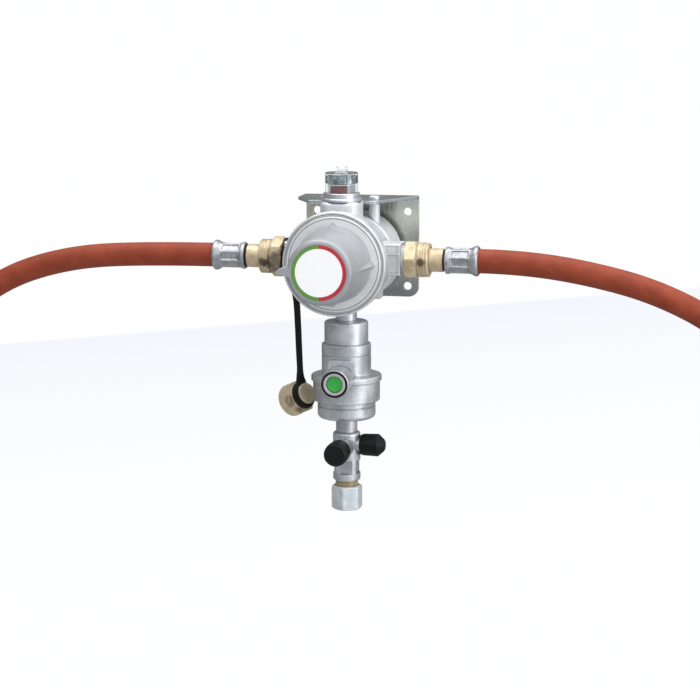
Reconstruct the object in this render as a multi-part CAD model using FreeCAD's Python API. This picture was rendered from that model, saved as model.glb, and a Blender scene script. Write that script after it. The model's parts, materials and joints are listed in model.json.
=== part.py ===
import FreeCAD, Part
import math
import os

V = FreeCAD.Vector

# Two-cylinder changeover gas regulator with crash sensor, wall bracket, test valve and hoses.
# Millimetres. X runs along the two inlets, +Y goes into the wall, +Z is up.
# The origin is the middle of the bracket's four bolt holes, on the wall face.
# A stand-off is a distance from the wall, so a stand-off of 57 lies at Y = -57.

# Shared clearances
turning_gap = 0.3
fit_gap = 0.1
shaft_gap = 0.05

# Wall bracket
sheet = 2.0
plate_half_width = 40.0
plate_below_holes = 7.5
shelf_above_holes = 11.6
plate_corner_r = 7.0
bend_inner_r = 1.5
side_past_bend = 2.0
shelf_corner_r = 2.0
shelf_notch = 2.0
bolt_spacing_x = 64.4
bolt_spacing_z = 52.0
bolt_hole_d = 5.6
shelf_depth = 48.0
shelf_left_half = 28.0
shelf_right_half = 20.0
shelf_left_cut = 22.0
shelf_right_cut = 40.0
post_half_spacing = 15.5
post_standoff = 35.0
post_r = 3.7
bracket_screw_r = 2.0
bracket_screw_length = 12.0
bracket_head_r = 3.6
bracket_head_h = 2.5
screw_slot_half = 0.4
screw_slot_depth = 0.9
post_bore_past_screw = 0.5
spare_hole_r = 1.8
spare_hole_x = -24.0
spare_hole_standoff = 19.0

# Low-pressure side, from the wall outwards
rear_gap = 8.5
rear_cover_depth = 8.5
rear_drop = 2.5
drum_r = 30.5
drum_depth = 22.0
rear_lip = 1.6
diaphragm_t = 1.0
rear_wall = 2.6
rear_chamber_r = 23.0
rear_screw_count = 6
rear_screw_circle_r = 26.2
rear_screw_r = 1.5
rear_screw_head_r = 2.5
rear_screw_head_h = 1.9
rear_screw_length = 16.0
adjuster_r = 6.0
adjuster_wall = 2.5
adjuster_boss_h = 3.0
adjuster_h = 5.0
adjuster_sink = 0.6
adjuster_slot_half = 0.7
adjuster_slot_depth = 1.2

# Body
inlet_from_drum = 15.0
body_from_inlet = 31.2
barrel_r = 24.0
barrel_into_drum = 5.0
barrel_cone_length = 6.8
rim_r = 33.0
rim_t = 3.7
rim_step = 2.0
rim_shoulder = 1.5
root_height = 15.0
inlet_block_half = 10.0
inlet_block_top = 11.2
inlet_block_reach = 39.5
inlet_block_round = 1.2
inlet_block_sink = 6.0
panel_from_barrel = 6.0
panel_frame = 1.5
panel_depth = 1.0
panel_top_z = 4.0
spigot_r = 9.7
spigot_length = 11.0
spigot_round = 0.8
inlet_bore_r = 3.0
front_chamber_r = 25.0
front_chamber_depth = 7.0
rear_chamber_depth = 9.0
drum_round = 1.5
top_block_half = 13.2
top_block_depth = 25.0
top_block_corner_r = 7.0
top_block_z = 39.5
top_block_round = 2.6
foot_past_barrel = 1.2
foot_below_barrel = 2.2
foot_width = 7.0
foot_front_reach = 8.0
foot_back_reach = 4.0
outlet_standoff = 54.5
window_from_inlet = 10.0
window_well_depth = 8.5
outlet_boss_r = 11.0
outlet_boss_z = -33.5
outlet_bore_r = 4.0
outlet_boss_sink = 8.0
sense_bore_r = 3.5
sense_bore_z = -12.0
neck_depth = 6.0

# Front cover and its rim
cover_t = 2.0
cover_raise = 1.7
groove_r = 31.6
groove_width = 0.7
clamp_r = 34.7
clamp_lip = 1.4
clamp_behind_rim = 1.3
clamp_hook = 1.2
clamp_step_width = 0.8
clamp_step_depth = 0.5
hub_r = 10.5
hub_bore_r = 9.0
hub_reach = 24.0
hub_end_t = 3.0

# Plate behind the front diaphragm
plate_hub_past_valves = 4.0
plate_past_valves = 8.0
plate_hub_t = 3.2
plate_t = 1.2

# Selector knob
knob_base_r = 25.2
knob_front_r = 21.1
knob_height = 41.3
knob_round = 2.8
knob_wall = 2.6
knob_edge_round = 0.8
knob_socket_into_floor = 0.5
pointer_past_base = 2.6
pointer_tip_half = 1.1
pointer_root_half = 4.4
rib_root_r = 15.0
corner_past_base = 2.7
corner_root_half = 12.0
corner_length = 33.0
spindle_r = 4.0
spindle_flange_r = 8.6
spindle_flange_t = 2.0
socket_wall = 3.5
label_r = 17.8
label_ring_width = 2.3
label_t = 0.6
label_recess = 0.4
label_base_t = 0.2
knob_screw_head_r = 3.5
knob_screw_head_t = 1.5
knob_screw_r = 1.2
knob_screw_length = 8.0
knob_screw_hole_r = 1.5
spindle_screw_hole_r = 1.25

# Springs: mean radius, wire radius and coils
selector_spring_r = 6.6
selector_spring_wire_r = 0.8
selector_spring_turns = 5
outlet_spring_r = 4.4
outlet_spring_wire_r = 0.6
outlet_spring_turns = 3
sensor_spring_r = 7.6
sensor_spring_wire_r = 0.5
sensor_spring_turns = 4

# Inlet valves
valve_offset = 9.0
valve_stem_r = 1.5
valve_head_r = 2.7
valve_head_t = 3.0
valve_tail = 4.0
valve_past_inlet = 3.5
valve_bore_before_inlet = 5.0

# Status window on top
collar_r = 12.3
collar_h = 5.6
collar_foot = 1.0
collar_foot_h = 1.5
collar_foot_slope = 0.7
collar_seat_h = 0.2
window_r = 10.9
window_wall = 1.4
window_above_collar = 13.4
window_flange_r = 11.6
window_flange_t = 1.5
lug_half_width = 3.6
lug_height = 3.6
lug_t = 1.3
lug_depth_half = 2.0
lug_base_r = 4.4
lug_base_h = 0.6
lug_bridge_half = 0.7
lug_bridge_h = 2.0
indicator_r = 8.6
indicator_h = 8.5
indicator_foot = 0.6
indicator_skirt = 6.0

# Inlet unions and hoses
nut_from_block = 2.0
nut_turn = 30.0
nut_af = 24.0
nut_hex_length = 8.6
nut_collar_r = 11.6
nut_collar_length = 7.9
nut_groove_from_hex = 1.9
nut_groove_depth = 0.6
nut_groove_floor = 0.4
nut_groove_slope = 0.4
stem_r = 7.85
stem_collar_r = 9.0
stem_collar_t = 2.2
stem_bore_r = 2.5
stem_tail_r = 4.0
ferrule_from_block = 27.9
ferrule_length = 23.8
ferrule_r = 8.6
ferrule_near_r = 9.1
ferrule_flare_r = 10.2
ferrule_near_length = 3.4
ferrule_near_slope = 1.0
ferrule_flare_length = 3.0
ferrule_flare_slope = 2.2
ferrule_flat_count = 8
ferrule_flat_depth = 0.35
ferrule_flat_start = 5.0
ferrule_flat_end = 6.2
flare_recess = 2.0
hose_r = 8.15
hose_bore_r = 4.0
hose_lip_gap = 0.15

# Cylinder ends of the hoses
end_stem_length = 16.0
end_nose_r = 7.0
end_nose_length = 9.0
end_nut_af = 30.0
end_nut_length = 20.0
end_thread_r = 10.9
end_nut_wall = 4.0
end_seal_t = 2.0
end_seal_gap = 1.4
end_flange_gap = 1.2
end_flange_t = 2.5
end_nose_taper = 1.6
end_nose_taper_length = 2.0
end_nut_chamfer = 1.4

# Crash sensor, heights below the inlet axis
sensor_top_z = -43.0
sensor_ceiling_drop = 7.0
sensor_groove_depth = 0.4
sensor_groove_width = 1.3
sensor_neck_r = 7.2
sensor_cap_r = 14.9
sensor_step_z = -58.3
sensor_tower_r = 16.8
sensor_groove_z = -66.5
shoulder_z = -79.7
shoulder_r = 24.0
shoulder_lip = 4.2
ring_r = 22.8
ring_bottom_z = -97.3
base_r = 19.8
base_groove_drop = 4.4
base_groove_depth = 0.5
base_length = 12.3
base_neck_r = 7.3
base_neck_length = 10.0
sensor_bore_r = 12.0
base_spigot_r = 18.0
base_spigot_h = 7.0
ball_r = 6.0
dish_floor_r = 2.0
dish_r = 5.0
dish_depth = 1.6
seat_t = 4.0
seat_hole_count = 6
seat_hole_r = 1.3
seat_hole_circle_r = 9.0
plunger_r = 9.0
plunger_t = 1.6
plunger_stem_r = 2.0
plunger_head_r = 6.0
plunger_head_t = 2.0
plunger_travel = 2.0
button_z = -80.4
button_reach = 37.0
button_boss_r = 9.6
button_fairing_half = 8.6
button_fairing_top = 13.0
button_fairing_past_tower = 3.0
button_r = 5.4
button_stem_r = 3.0
button_tip = 11.5
button_recess = 8.0
button_proud = 0.3
button_travel = 2.5
button_side_gap = 0.2
bezel_r = 7.5
seal_r = 8.3
bezel_t = 1.4
bezel_proud = 0.5
seal_proud = 0.3

# Test valve and outlet
valve_body_r = 9.4
valve_body_length = 33.5
port_drop = 9.0
port_r = 7.0
port_boss_reach = 10.6
port_neck_r = 5.6
front_port_reach = 20.6
side_port_reach = 9.6
wrench_flat = 7.6
wrench_flat_low = 4.6
wrench_flat_high = 14.0
port_bore_r = 1.5
thread_socket_depth = 6.0
nipple_r = 3.2
nipple_barb_r = 4.4
nipple_length = 13.5
nipple_foot_r = 4.5
nipple_foot_length = 1.5
nipple_bore_r = 1.2
nipple_barb_rise = 0.5
nipple_barb_ends = (8.0, 11.5)
cap_r = 7.7
cap_mouth_r = 7.0
cap_mouth_length = 2.0
cap_length = 16.9
cap_end_t = 2.6
cap_chamfer = 2.4
outlet_thread_r = 7.9
outlet_thread_length = 11.0
outlet_thread_chamfer = 1.4
outlet_thread_pitch = 1.5
outlet_thread_turns = 6
outlet_thread_depth = 0.8
outlet_nut_af = 19.0
outlet_nut_length = 16.5
outlet_nut_gap = 4.1
outlet_nut_turn = 26.0
tube_r = 5.15
tube_socket_depth = 9.0
ring_seat_r = 7.0
ring_seat_depth = 3.0
ring_taper = 0.8
ring_taper_length = 1.0

# Strap and blind cap
strap_ring_r = 12.8
strap_ring_t = 1.5
strap_tongue_half = 2.6
strap_tongue_back = 5.5
strap_tongue_z = -17.5
strap_tongue_top = -10.6
strap_width = 4.4
strap_t = 2.6
strap_corner = 0.8
cap_ring_r = 9.6
cap_ring_t = 3.2
blind_cap_af = 22.0
blind_cap_turn = 7.0
blind_cap_length = 7.6
blind_collar_r = 11.2
blind_collar_length = 4.0
blind_neck_r = 7.0
blind_flange_r = 10.4
blind_flange_t = 1.8
blind_disc_r = 7.3
blind_disc_t = 1.8
blind_bore_r = 10.0
blind_bore_depth = 10.0
blind_spot_x = -28.2
blind_spot_standoff = 50.0
blind_spot_z = -95.1
blind_tilt = V(0.781, 0.464, 0.419)

# Strap route, chosen by hand: X past the inlet's neck and Z, then X, stand-off and Z of the lower run
strap_top_route = [(0.1, -15.0), (2.1, -21.5)]
strap_low_route = [
    (-35.4, 51.6, -31.0), (-34.6, 51.0, -48.0), (-34.3, 49.6, -72.0), (-33.7, 47.2, -87.6),
]

# Hose routes in the plane of the inlet axis: X from the body's middle, then Z, chosen by hand
right_route = [
    (0.0, 0.0), (27.0, 0.0), (72.0, -5.6), (120.0, -17.5), (164.6, -40.2),
    (197.4, -77.9), (214.6, -124.9), (219.8, -178.6), (219.8, -232.0),
]
left_route = [
    (0.0, 0.0), (52.0, 0.0), (108.0, -4.4), (158.0, -20.6), (198.0, -52.9),
    (219.8, -99.0), (226.0, -152.6), (226.0, -206.0),
]


# Derived places
rear_back = sheet + rear_gap
rear_joint = rear_back + rear_cover_depth
drum_back = rear_joint + diaphragm_t
drum_front = drum_back + drum_depth
inlet_standoff = drum_front + inlet_from_drum
body_front = inlet_standoff + body_from_inlet
cover_seat = body_front + diaphragm_t
cover_rim_face = cover_seat + cover_t
cover_face = cover_rim_face + cover_raise
window_standoff = inlet_standoff + window_from_inlet
foot_reach = barrel_r + foot_past_barrel
foot_z = -barrel_r - foot_below_barrel
hub_end = cover_face + hub_reach
pointer_tip_r = knob_base_r + pointer_past_base
corner_tip_r = knob_base_r + corner_past_base
knob_back = cover_face + turning_gap
knob_face = knob_back + knob_height
shelf_top_z = bolt_spacing_z / 2 + shelf_above_holes
plate_bottom_z = -bolt_spacing_z / 2 - plate_below_holes
post_top_z = shelf_top_z - sheet
sensor_ceiling_z = sensor_top_z - sensor_ceiling_drop
base_groove_z = ring_bottom_z - base_groove_drop
base_bottom_z = ring_bottom_z - base_length
nut_start = inlet_block_reach + nut_from_block
ferrule_start = inlet_block_reach + ferrule_from_block
stem_seat = inlet_block_reach + spigot_length
stem_tail_end = ferrule_start + ferrule_length - flare_recess
adjuster_back = rear_back - adjuster_boss_h + adjuster_sink
plate_back = body_front - plate_hub_t
label_floor = knob_face - label_recess
indicator_low = top_block_z + collar_h - indicator_foot

OUT = V(0, -1, 0)
UP = V(0, 0, 1)
DOWN = V(0, 0, -1)
RIGHT = V(1, 0, 0)
WALL = V(0, 0, 0)
INLET = V(0, -inlet_standoff, 0)
OUTLET = V(0, -outlet_standoff, 0)
WINDOW = V(0, -window_standoff, 0)
REAR = V(0, 0, -rear_drop)


def outline(corners, to_space):
    """Closed wire through corners (a, b) or (a, b, radius); to_space turns (a, b) into a point."""
    points = [V(c[0], c[1], 0) for c in corners]
    count = len(points)
    starts, ends, middles = [], [], []
    for i, corner in enumerate(corners):
        here = points[i]
        radius = corner[2] if len(corner) > 2 else 0.0
        if radius <= 0:
            starts.append(here)
            ends.append(here)
            middles.append(None)
            continue
        back = (points[i - 1] - here).normalize()
        ahead = (points[(i + 1) % count] - here).normalize()
        half = back.getAngle(ahead) / 2
        starts.append(here + back * (radius / math.tan(half)))
        ends.append(here + ahead * (radius / math.tan(half)))
        bisector = (back + ahead).normalize()
        middles.append(here + bisector * (radius / math.sin(half) - radius))
    edges = []
    for i in range(count):
        if middles[i] is not None:
            arc = (starts[i], middles[i], ends[i])
            edges.append(Part.Arc(*[to_space(p.x, p.y) for p in arc]).toShape())
        after = starts[(i + 1) % count]
        if (after - ends[i]).Length > 1e-6:
            line = Part.LineSegment(to_space(ends[i].x, ends[i].y), to_space(after.x, after.y))
            edges.append(line.toShape())
    return Part.Wire(edges)


def placed(shape, base, axis):
    """The shape, drawn about +Z at the origin, moved to base with +Z along axis."""
    moved = shape.copy()
    moved.Placement = FreeCAD.Placement(base, FreeCAD.Rotation(UP, axis)).multiply(moved.Placement)
    return moved


def turned(profile, base=WALL, axis=UP):
    """Solid of revolution: profile corners are (radius, height along the axis, round)."""
    wire = outline(profile, lambda r, h: V(r, 0, h))
    solid = Part.Face(wire).revolve(V(0, 0, 0), UP, 360)
    return placed(solid, base, axis)


def rod(radius, low, high, base=WALL, axis=UP):
    """Plain round bar between two heights along the axis."""
    return placed(Part.makeCylinder(radius, high - low, V(0, 0, low)), base, axis)


def slab(corners, low, high, base=WALL, axis=UP):
    """Plate with the outline of the corners, between two heights along the axis."""
    wire = outline(corners, lambda a, b: V(a, b, low))
    return placed(Part.Face(wire).extrude(V(0, 0, high - low)), base, axis)


def box(low, high):
    """Box between two opposite corners."""
    size = [high[i] - low[i] for i in range(3)]
    return Part.makeBox(*size, V(*low))


def hexagon(across_flats, low, high, base, axis, turn=0.0, chamfer=1.0):
    """Six-sided bar with turned ends, as on a nut."""
    corner_r = across_flats / math.sqrt(3)
    corners = []
    for i in range(6):
        angle = math.radians(60 * i + turn)
        corners.append((corner_r * math.cos(angle), corner_r * math.sin(angle)))
    bar = slab(corners, low, high)
    inner_r = across_flats / 2
    reach = corner_r + chamfer
    rise = (reach - inner_r) * 0.5
    ends = turned([
        (0, low), (inner_r, low), (reach, low + rise), (reach, high - rise), (inner_r, high), (0, high),
    ])
    return placed(bar.common(ends), base, axis)


def fused(first, *others):
    """One solid from several that touch."""
    return first.fuse(list(others)).removeSplitter()


def bored(shape, *tools):
    """The shape with the tools cut away."""
    return shape.cut(list(tools))


def mirrored(shape):
    """The same piece on the other side of the body."""
    return shape.mirror(V(0, 0, 0), RIGHT)


def arc_edge(start, tangent, end):
    """Arc from start to end that leaves start along tangent."""
    chord = end - start
    across = tangent.cross(chord).cross(tangent)
    if across.Length < 1e-9:
        return Part.LineSegment(start, end).toShape()
    across.normalize()
    radius = chord.Length ** 2 / (2 * chord.dot(across))
    centre = start + across * radius
    middle = (start + end) * 0.5 - centre
    return Part.Arc(start, centre + middle.normalize() * radius, end).toShape()


def biarc(start, start_dir, end, end_dir):
    """Two arcs that join two points with given directions."""
    v = end - start
    both = start_dir + end_dir
    a = 2 * (start_dir.dot(end_dir) - 1)
    b = -2 * v.dot(both)
    c = v.dot(v)
    reach = (-b - math.sqrt(b * b - 4 * a * c)) / (2 * a)
    middle = (start + end + (start_dir - end_dir) * reach) * 0.5
    middle_dir = (end - end_dir * reach) - (start + start_dir * reach)
    middle_dir.normalize()
    return [arc_edge(start, start_dir, middle), arc_edge(middle, middle_dir, end)]


def coil_spring(radius, wire_r, turns, low, high):
    """Round-wire compression spring about +Z between two heights."""
    pitch = (high - low - 2 * wire_r) / turns
    slope = pitch / (2 * math.pi * radius)
    length = math.hypot(1, slope)
    edges = []
    step = math.pi / 2
    for i in range(4 * turns):
        ends = []
        for angle in (i * step, (i + 1) * step):
            height = low + wire_r + pitch * angle / (2 * math.pi)
            point = V(radius * math.cos(angle), radius * math.sin(angle), height)
            direction = V(-math.sin(angle) / length, math.cos(angle) / length, slope / length)
            ends += [point, direction]
        edges += biarc(*ends)
    path = Part.Wire(edges)
    start = V(radius, 0, low + wire_r)
    section = Part.Wire([Part.makeCircle(wire_r, start, V(0, 1 / length, slope / length))])
    return path.makePipeShell([section], True, False)


def hose_path(route):
    """Straight runs joined by tangent arcs; returns the wire and its arc radii."""
    edges, radii = [], []
    here = route[0]
    for i in range(1, len(route) - 1):
        back = route[i - 1] - route[i]
        ahead = route[i + 1] - route[i]
        turn = math.pi - back.getAngle(ahead)
        shorter = min(back.Length, ahead.Length)
        radius = 0.45 * shorter / math.tan(turn / 2)
        reach = 0.45 * shorter
        start = route[i] + back.normalize() * reach
        end = route[i] + ahead.normalize() * reach
        bisector = (back + ahead).normalize()
        middle = route[i] + bisector * (radius / math.cos(turn / 2) - radius)
        edges.append(Part.LineSegment(here, start).toShape())
        edges.append(Part.Arc(start, middle, end).toShape())
        radii.append(round(radius, 1))
        here = end
    edges.append(Part.LineSegment(here, route[-1]).toShape())
    return Part.Wire(edges), radii


def wall_bracket():
    """Folded sheet: a back plate with four holes, and a shelf folded forward at the top."""
    outer_r = bend_inner_r + sheet
    fold = outline(
        [
            (0, plate_bottom_z), (0, shelf_top_z, outer_r), (shelf_depth, shelf_top_z),
            (shelf_depth, post_top_z), (sheet, post_top_z, bend_inner_r), (sheet, plate_bottom_z),
        ],
        lambda s, z: V(-plate_half_width, -s, z),
    )
    folded = Part.Face(fold).extrude(V(2 * plate_half_width, 0, 0))
    front = [
        (-plate_half_width, plate_bottom_z, plate_corner_r), (plate_half_width, plate_bottom_z, plate_corner_r),
        (plate_half_width, shelf_top_z + sheet), (-plate_half_width, shelf_top_z + sheet),
    ]
    folded = folded.common(slab(front, 0, shelf_depth, axis=OUT))
    side = outer_r + side_past_bend
    notch_x = shelf_right_half - shelf_notch
    plan = [
        (plate_half_width, 0), (plate_half_width, -side), (shelf_right_half, -side - shelf_right_cut),
        (notch_x, -shelf_depth, shelf_corner_r / 2), (-shelf_left_half, -shelf_depth, shelf_corner_r),
        (-plate_half_width, -shelf_depth + shelf_left_cut, shelf_corner_r), (-plate_half_width, 0),
    ]
    folded = folded.common(slab(plan, plate_bottom_z, shelf_top_z))
    holes = []
    for x in (-bolt_spacing_x / 2, bolt_spacing_x / 2):
        for z in (-bolt_spacing_z / 2, bolt_spacing_z / 2):
            holes.append(rod(bolt_hole_d / 2, -1, sheet + 1, V(x, 0, z), OUT))
    for x in (-post_half_spacing, post_half_spacing):
        holes.append(rod(bracket_screw_r + fit_gap, -sheet - 1, 1, V(x, -post_standoff, shelf_top_z)))
    holes.append(rod(spare_hole_r, -sheet - 1, 1, V(spare_hole_x, -spare_hole_standoff, shelf_top_z)))
    return bored(folded, *holes)


def bracket_screws():
    """Two pan-head screws through the shelf into the body's posts."""
    screws = []
    for x in (-post_half_spacing, post_half_spacing):
        screw = turned(
            [
                (0, -bracket_screw_length), (bracket_screw_r, -bracket_screw_length), (bracket_screw_r, 0),
                (bracket_head_r, 0), (bracket_head_r, bracket_head_h, 1.0), (0, bracket_head_h),
            ],
            V(x, -post_standoff, shelf_top_z),
        )
        head_top = shelf_top_z + bracket_head_h
        slot = box(
            (x - bracket_head_r, -post_standoff - screw_slot_half, head_top - screw_slot_depth),
            (x + bracket_head_r, -post_standoff + screw_slot_half, head_top + 1),
        )
        screws.append(bored(screw, slot))
    return Part.makeCompound(screws)


def inlet_block():
    """Square inlet block of the right side, with a recessed front panel and its spigot."""
    half = inlet_block_half
    top = inlet_block_top
    block = slab(
        [
            (-top, -half, inlet_block_round), (half, -half, inlet_block_round),
            (half, half, inlet_block_round), (-top, half, inlet_block_round),
        ],
        barrel_r - inlet_block_sink, inlet_block_reach, INLET, RIGHT,
    )
    spigot = turned(
        [
            (0, inlet_block_reach - 1), (spigot_r, inlet_block_reach - 1),
            (spigot_r, stem_seat, spigot_round), (0, stem_seat),
        ],
        INLET, RIGHT,
    )
    front = -inlet_standoff - half
    inner = barrel_r + panel_from_barrel
    outer = inlet_block_reach - panel_frame
    panel = box((inner, front - 1, panel_frame - half), (outer, front + panel_depth, panel_top_z))
    strip = box((inner, front - 1, panel_top_z + panel_frame), (outer, front + panel_depth / 2, top - 1.0))
    return bored(fused(block, spigot), panel, strip)


def regulator_body():
    """Die-cast body: front rim, barrel, rear drum, two inlets, top block, posts and outlet boss."""
    cone_back = body_front - rim_t - rim_shoulder - barrel_cone_length
    shoulder_rim_r = rim_r - rim_step
    barrel = turned(
        [
            (0, drum_back + barrel_into_drum), (barrel_r, drum_back + barrel_into_drum), (barrel_r, cone_back),
            (shoulder_rim_r, cone_back + barrel_cone_length, 1.0), (shoulder_rim_r, body_front - rim_t),
            (rim_r, body_front - rim_t), (rim_r, body_front), (0, body_front),
        ],
        WALL, OUT,
    )
    lip_r = drum_r - rear_lip
    drum = turned(
        [
            (0, drum_back), (lip_r - fit_gap, drum_back), (lip_r - fit_gap, drum_back + diaphragm_t),
            (drum_r, drum_back + diaphragm_t), (drum_r, drum_front, drum_round), (0, drum_front),
        ],
        REAR, OUT,
    )
    block_back = window_standoff - top_block_depth / 2
    block_front = window_standoff + top_block_depth / 2
    corner = top_block_corner_r
    top = slab(
        [
            (-top_block_half, -block_front, corner), (top_block_half, -block_front, corner),
            (top_block_half, -block_back, corner), (-top_block_half, -block_back, corner),
        ],
        root_height, top_block_z,
    )
    rim = [e for e in top.Edges if abs(e.CenterOfMass.z - top_block_z) < 0.01]
    top = top.makeFillet(top_block_round, rim)
    right_inlet = inlet_block()
    posts = [
        rod(post_r, root_height, post_top_z, V(x, -post_standoff, 0))
        for x in (-post_half_spacing, post_half_spacing)
    ]
    outlet = rod(outlet_boss_r, outlet_boss_z, outlet_boss_sink - barrel_r, OUTLET)
    foot_back = -inlet_standoff + foot_back_reach
    foot_front = -inlet_standoff - foot_front_reach
    right_foot = box((foot_reach - foot_width, foot_front, foot_z), (foot_reach, foot_back, foot_z / 2))
    body = fused(
        barrel, drum, top, right_inlet, mirrored(right_inlet), outlet, *posts, right_foot, mirrored(right_foot),
    )
    screw_reach = bracket_screw_length - sheet + post_bore_past_screw
    tools = [
        rod(front_chamber_r, body_front - front_chamber_depth, body_front + 1, WALL, OUT),
        rod(rear_chamber_r, drum_back - 1, drum_back + rear_chamber_depth, REAR, OUT),
        rod(outlet_bore_r, outlet_boss_z - 1, sense_bore_z, OUTLET),
        rod(sense_bore_r, drum_back, outlet_standoff, V(0, 0, sense_bore_z), OUT),
        rod(sensor_neck_r + fit_gap, outlet_boss_z - 1, outlet_boss_z + neck_depth, OUTLET),
        rod(window_r - window_wall - 1, top_block_z - window_well_depth, top_block_z + 1, WINDOW),
    ]
    for side in (-1, 1):
        along = V(side, 0, 0)
        tools.append(rod(inlet_bore_r, valve_offset, stem_seat + 1, INLET, along))
        passage = V(side * valve_offset, 0, 0)
        low = inlet_standoff - valve_bore_before_inlet
        tools.append(rod(inlet_bore_r, low, body_front - front_chamber_depth + 1, passage, OUT))
        post = V(side * post_half_spacing, -post_standoff, post_top_z)
        tools.append(rod(bracket_screw_r + shaft_gap, -screw_reach, 1, post))
    for spot in rear_screw_spots():
        tools.append(rod(rear_screw_r + shaft_gap, drum_back - 1, rear_back + rear_screw_length + 1, spot, OUT))
    return bored(body, *tools)


def rear_screw_spots():
    """Centres of the rear cover's screws."""
    spots = []
    for i in range(rear_screw_count):
        angle = 2 * math.pi * (i + 0.5) / rear_screw_count
        spots.append(REAR + V(rear_screw_circle_r * math.cos(angle), 0, rear_screw_circle_r * math.sin(angle)))
    return spots


def rear_cover():
    """Round cover of the low-pressure side, with a lip round the diaphragm and a threaded boss."""
    boss_r = adjuster_r + adjuster_wall
    boss_back = rear_back - adjuster_boss_h
    lip_end = drum_back + diaphragm_t - fit_gap
    lip_r = drum_r - rear_lip
    cover = turned(
        [
            (adjuster_r + fit_gap, boss_back), (boss_r, boss_back, 0.8), (boss_r, rear_back),
            (drum_r, rear_back, 2.0), (drum_r, lip_end), (lip_r, lip_end), (lip_r, rear_joint),
            (rear_chamber_r, rear_joint),
            (rear_chamber_r, rear_back + rear_wall, 2.0), (adjuster_r + fit_gap, rear_back + rear_wall),
        ],
        REAR, OUT,
    )
    holes = [rod(rear_screw_r + fit_gap, rear_back - 1, rear_joint + 1, s, OUT) for s in rear_screw_spots()]
    return bored(cover, *holes)


def rear_cover_screws():
    """Screws of the rear cover, heads towards the wall."""
    screws = []
    for spot in rear_screw_spots():
        head_back = rear_back - rear_screw_head_h
        screws.append(turned(
            [
                (0, head_back), (rear_screw_head_r, head_back, 0.7), (rear_screw_head_r, rear_back),
                (rear_screw_r, rear_back), (rear_screw_r, rear_back + rear_screw_length),
                (0, rear_back + rear_screw_length),
            ],
            spot, OUT,
        ))
    return Part.makeCompound(screws)


def outlet_diaphragm():
    """Rubber disc between rear cover and body."""
    disc = rod(drum_r - rear_lip - fit_gap, rear_joint, drum_back, REAR, OUT)
    holes = [rod(rear_screw_r + fit_gap, rear_joint - 1, drum_back + 1, s, OUT) for s in rear_screw_spots()]
    return bored(disc, *holes)


def adjusting_screw():
    """Slotted brass plug that sets the outlet spring."""
    back = adjuster_back
    plug = turned(
        [(0, back), (adjuster_r, back, 0.5), (adjuster_r, back + adjuster_h), (0, back + adjuster_h)],
        REAR, OUT,
    )
    slot = box(
        (-adjuster_r - 1, -back - adjuster_slot_depth, -rear_drop - adjuster_slot_half),
        (adjuster_r + 1, -back + 1, adjuster_slot_half - rear_drop),
    )
    return bored(plug, slot)


def outlet_spring():
    """Spring between the adjuster and the outlet diaphragm."""
    start = adjuster_back + adjuster_h
    spring = coil_spring(outlet_spring_r, outlet_spring_wire_r, outlet_spring_turns, start, rear_joint)
    return placed(spring, REAR, OUT)


def changeover_diaphragm():
    """Rubber disc between body and front cover."""
    return rod(rim_r, body_front, cover_seat, WALL, OUT)


def diaphragm_plate():
    """Light disc behind the front diaphragm, which pushes the two inlet valves."""
    hub = valve_offset + plate_hub_past_valves
    outer = valve_offset + plate_past_valves
    return turned(
        [
            (0, plate_back), (hub, plate_back, 0.4), (hub, body_front - plate_t),
            (outer, body_front - plate_t, 0.3), (outer, body_front), (0, body_front),
        ],
        WALL, OUT,
    )


def inlet_valve(side):
    """Poppet of one inlet, held open by the diaphragm plate."""
    tip = plate_back
    head = inlet_standoff + valve_past_inlet
    head_end = head + valve_head_t
    return turned(
        [
            (0, head - valve_tail), (valve_stem_r, head - valve_tail), (valve_stem_r, head),
            (valve_head_r, head), (valve_head_r, head_end), (valve_stem_r, head_end),
            (valve_stem_r, tip, 0.5), (0, tip),
        ],
        V(side * valve_offset, 0, 0), OUT,
    )


def cover_clamp_ring():
    """Rim crimped round the front cover and the body's rim."""
    inner = rim_r + fit_gap
    hook = inner - clamp_hook
    back = body_front - rim_t
    behind = back - clamp_behind_rim
    front = cover_rim_face + clamp_lip
    lip_r = groove_r + groove_width
    step_r = lip_r + clamp_step_width
    return turned(
        [
            (hook, behind), (clamp_r, behind, 1.0), (clamp_r, front, 0.9), (step_r, front, 0.3),
            (step_r, front - clamp_step_depth), (lip_r, front - clamp_step_depth, 0.3),
            (lip_r, cover_rim_face), (inner, cover_rim_face), (inner, back), (hook, back),
        ],
        WALL, OUT,
    )


def front_cover():
    """Front plate with its raised face and the hub that guides the knob."""
    return turned(
        [
            (0, hub_end), (0, hub_end - hub_end_t), (hub_bore_r, hub_end - hub_end_t), (hub_bore_r, cover_seat),
            (rim_r, cover_seat), (rim_r, cover_rim_face), (groove_r, cover_rim_face),
            (groove_r, cover_face, 0.6), (hub_r, cover_face), (hub_r, hub_end, 0.6),
        ],
        WALL, OUT,
    ).cut(rod(spindle_r + shaft_gap, cover_seat, hub_end + 1, WALL, OUT))


def selector_spindle():
    """Shaft of the knob, with the flange that presses the spring inside the hub."""
    flange = hub_end - hub_end_t - turning_gap
    tip = label_floor - knob_wall
    return turned(
        [
            (0, flange - spindle_flange_t), (spindle_flange_r, flange - spindle_flange_t),
            (spindle_flange_r, flange), (spindle_r, flange), (spindle_r, tip), (0, tip),
        ],
        WALL, OUT,
    ).cut(rod(spindle_screw_hole_r, tip - knob_screw_length, tip + 1, WALL, OUT))


def changeover_spring():
    """Spring between the spindle's flange and the front diaphragm."""
    end = hub_end - hub_end_t - turning_gap - spindle_flange_t - turning_gap
    spring = coil_spring(selector_spring_r, selector_spring_wire_r, selector_spring_turns, cover_seat, end)
    return placed(spring, WALL, OUT)


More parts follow.
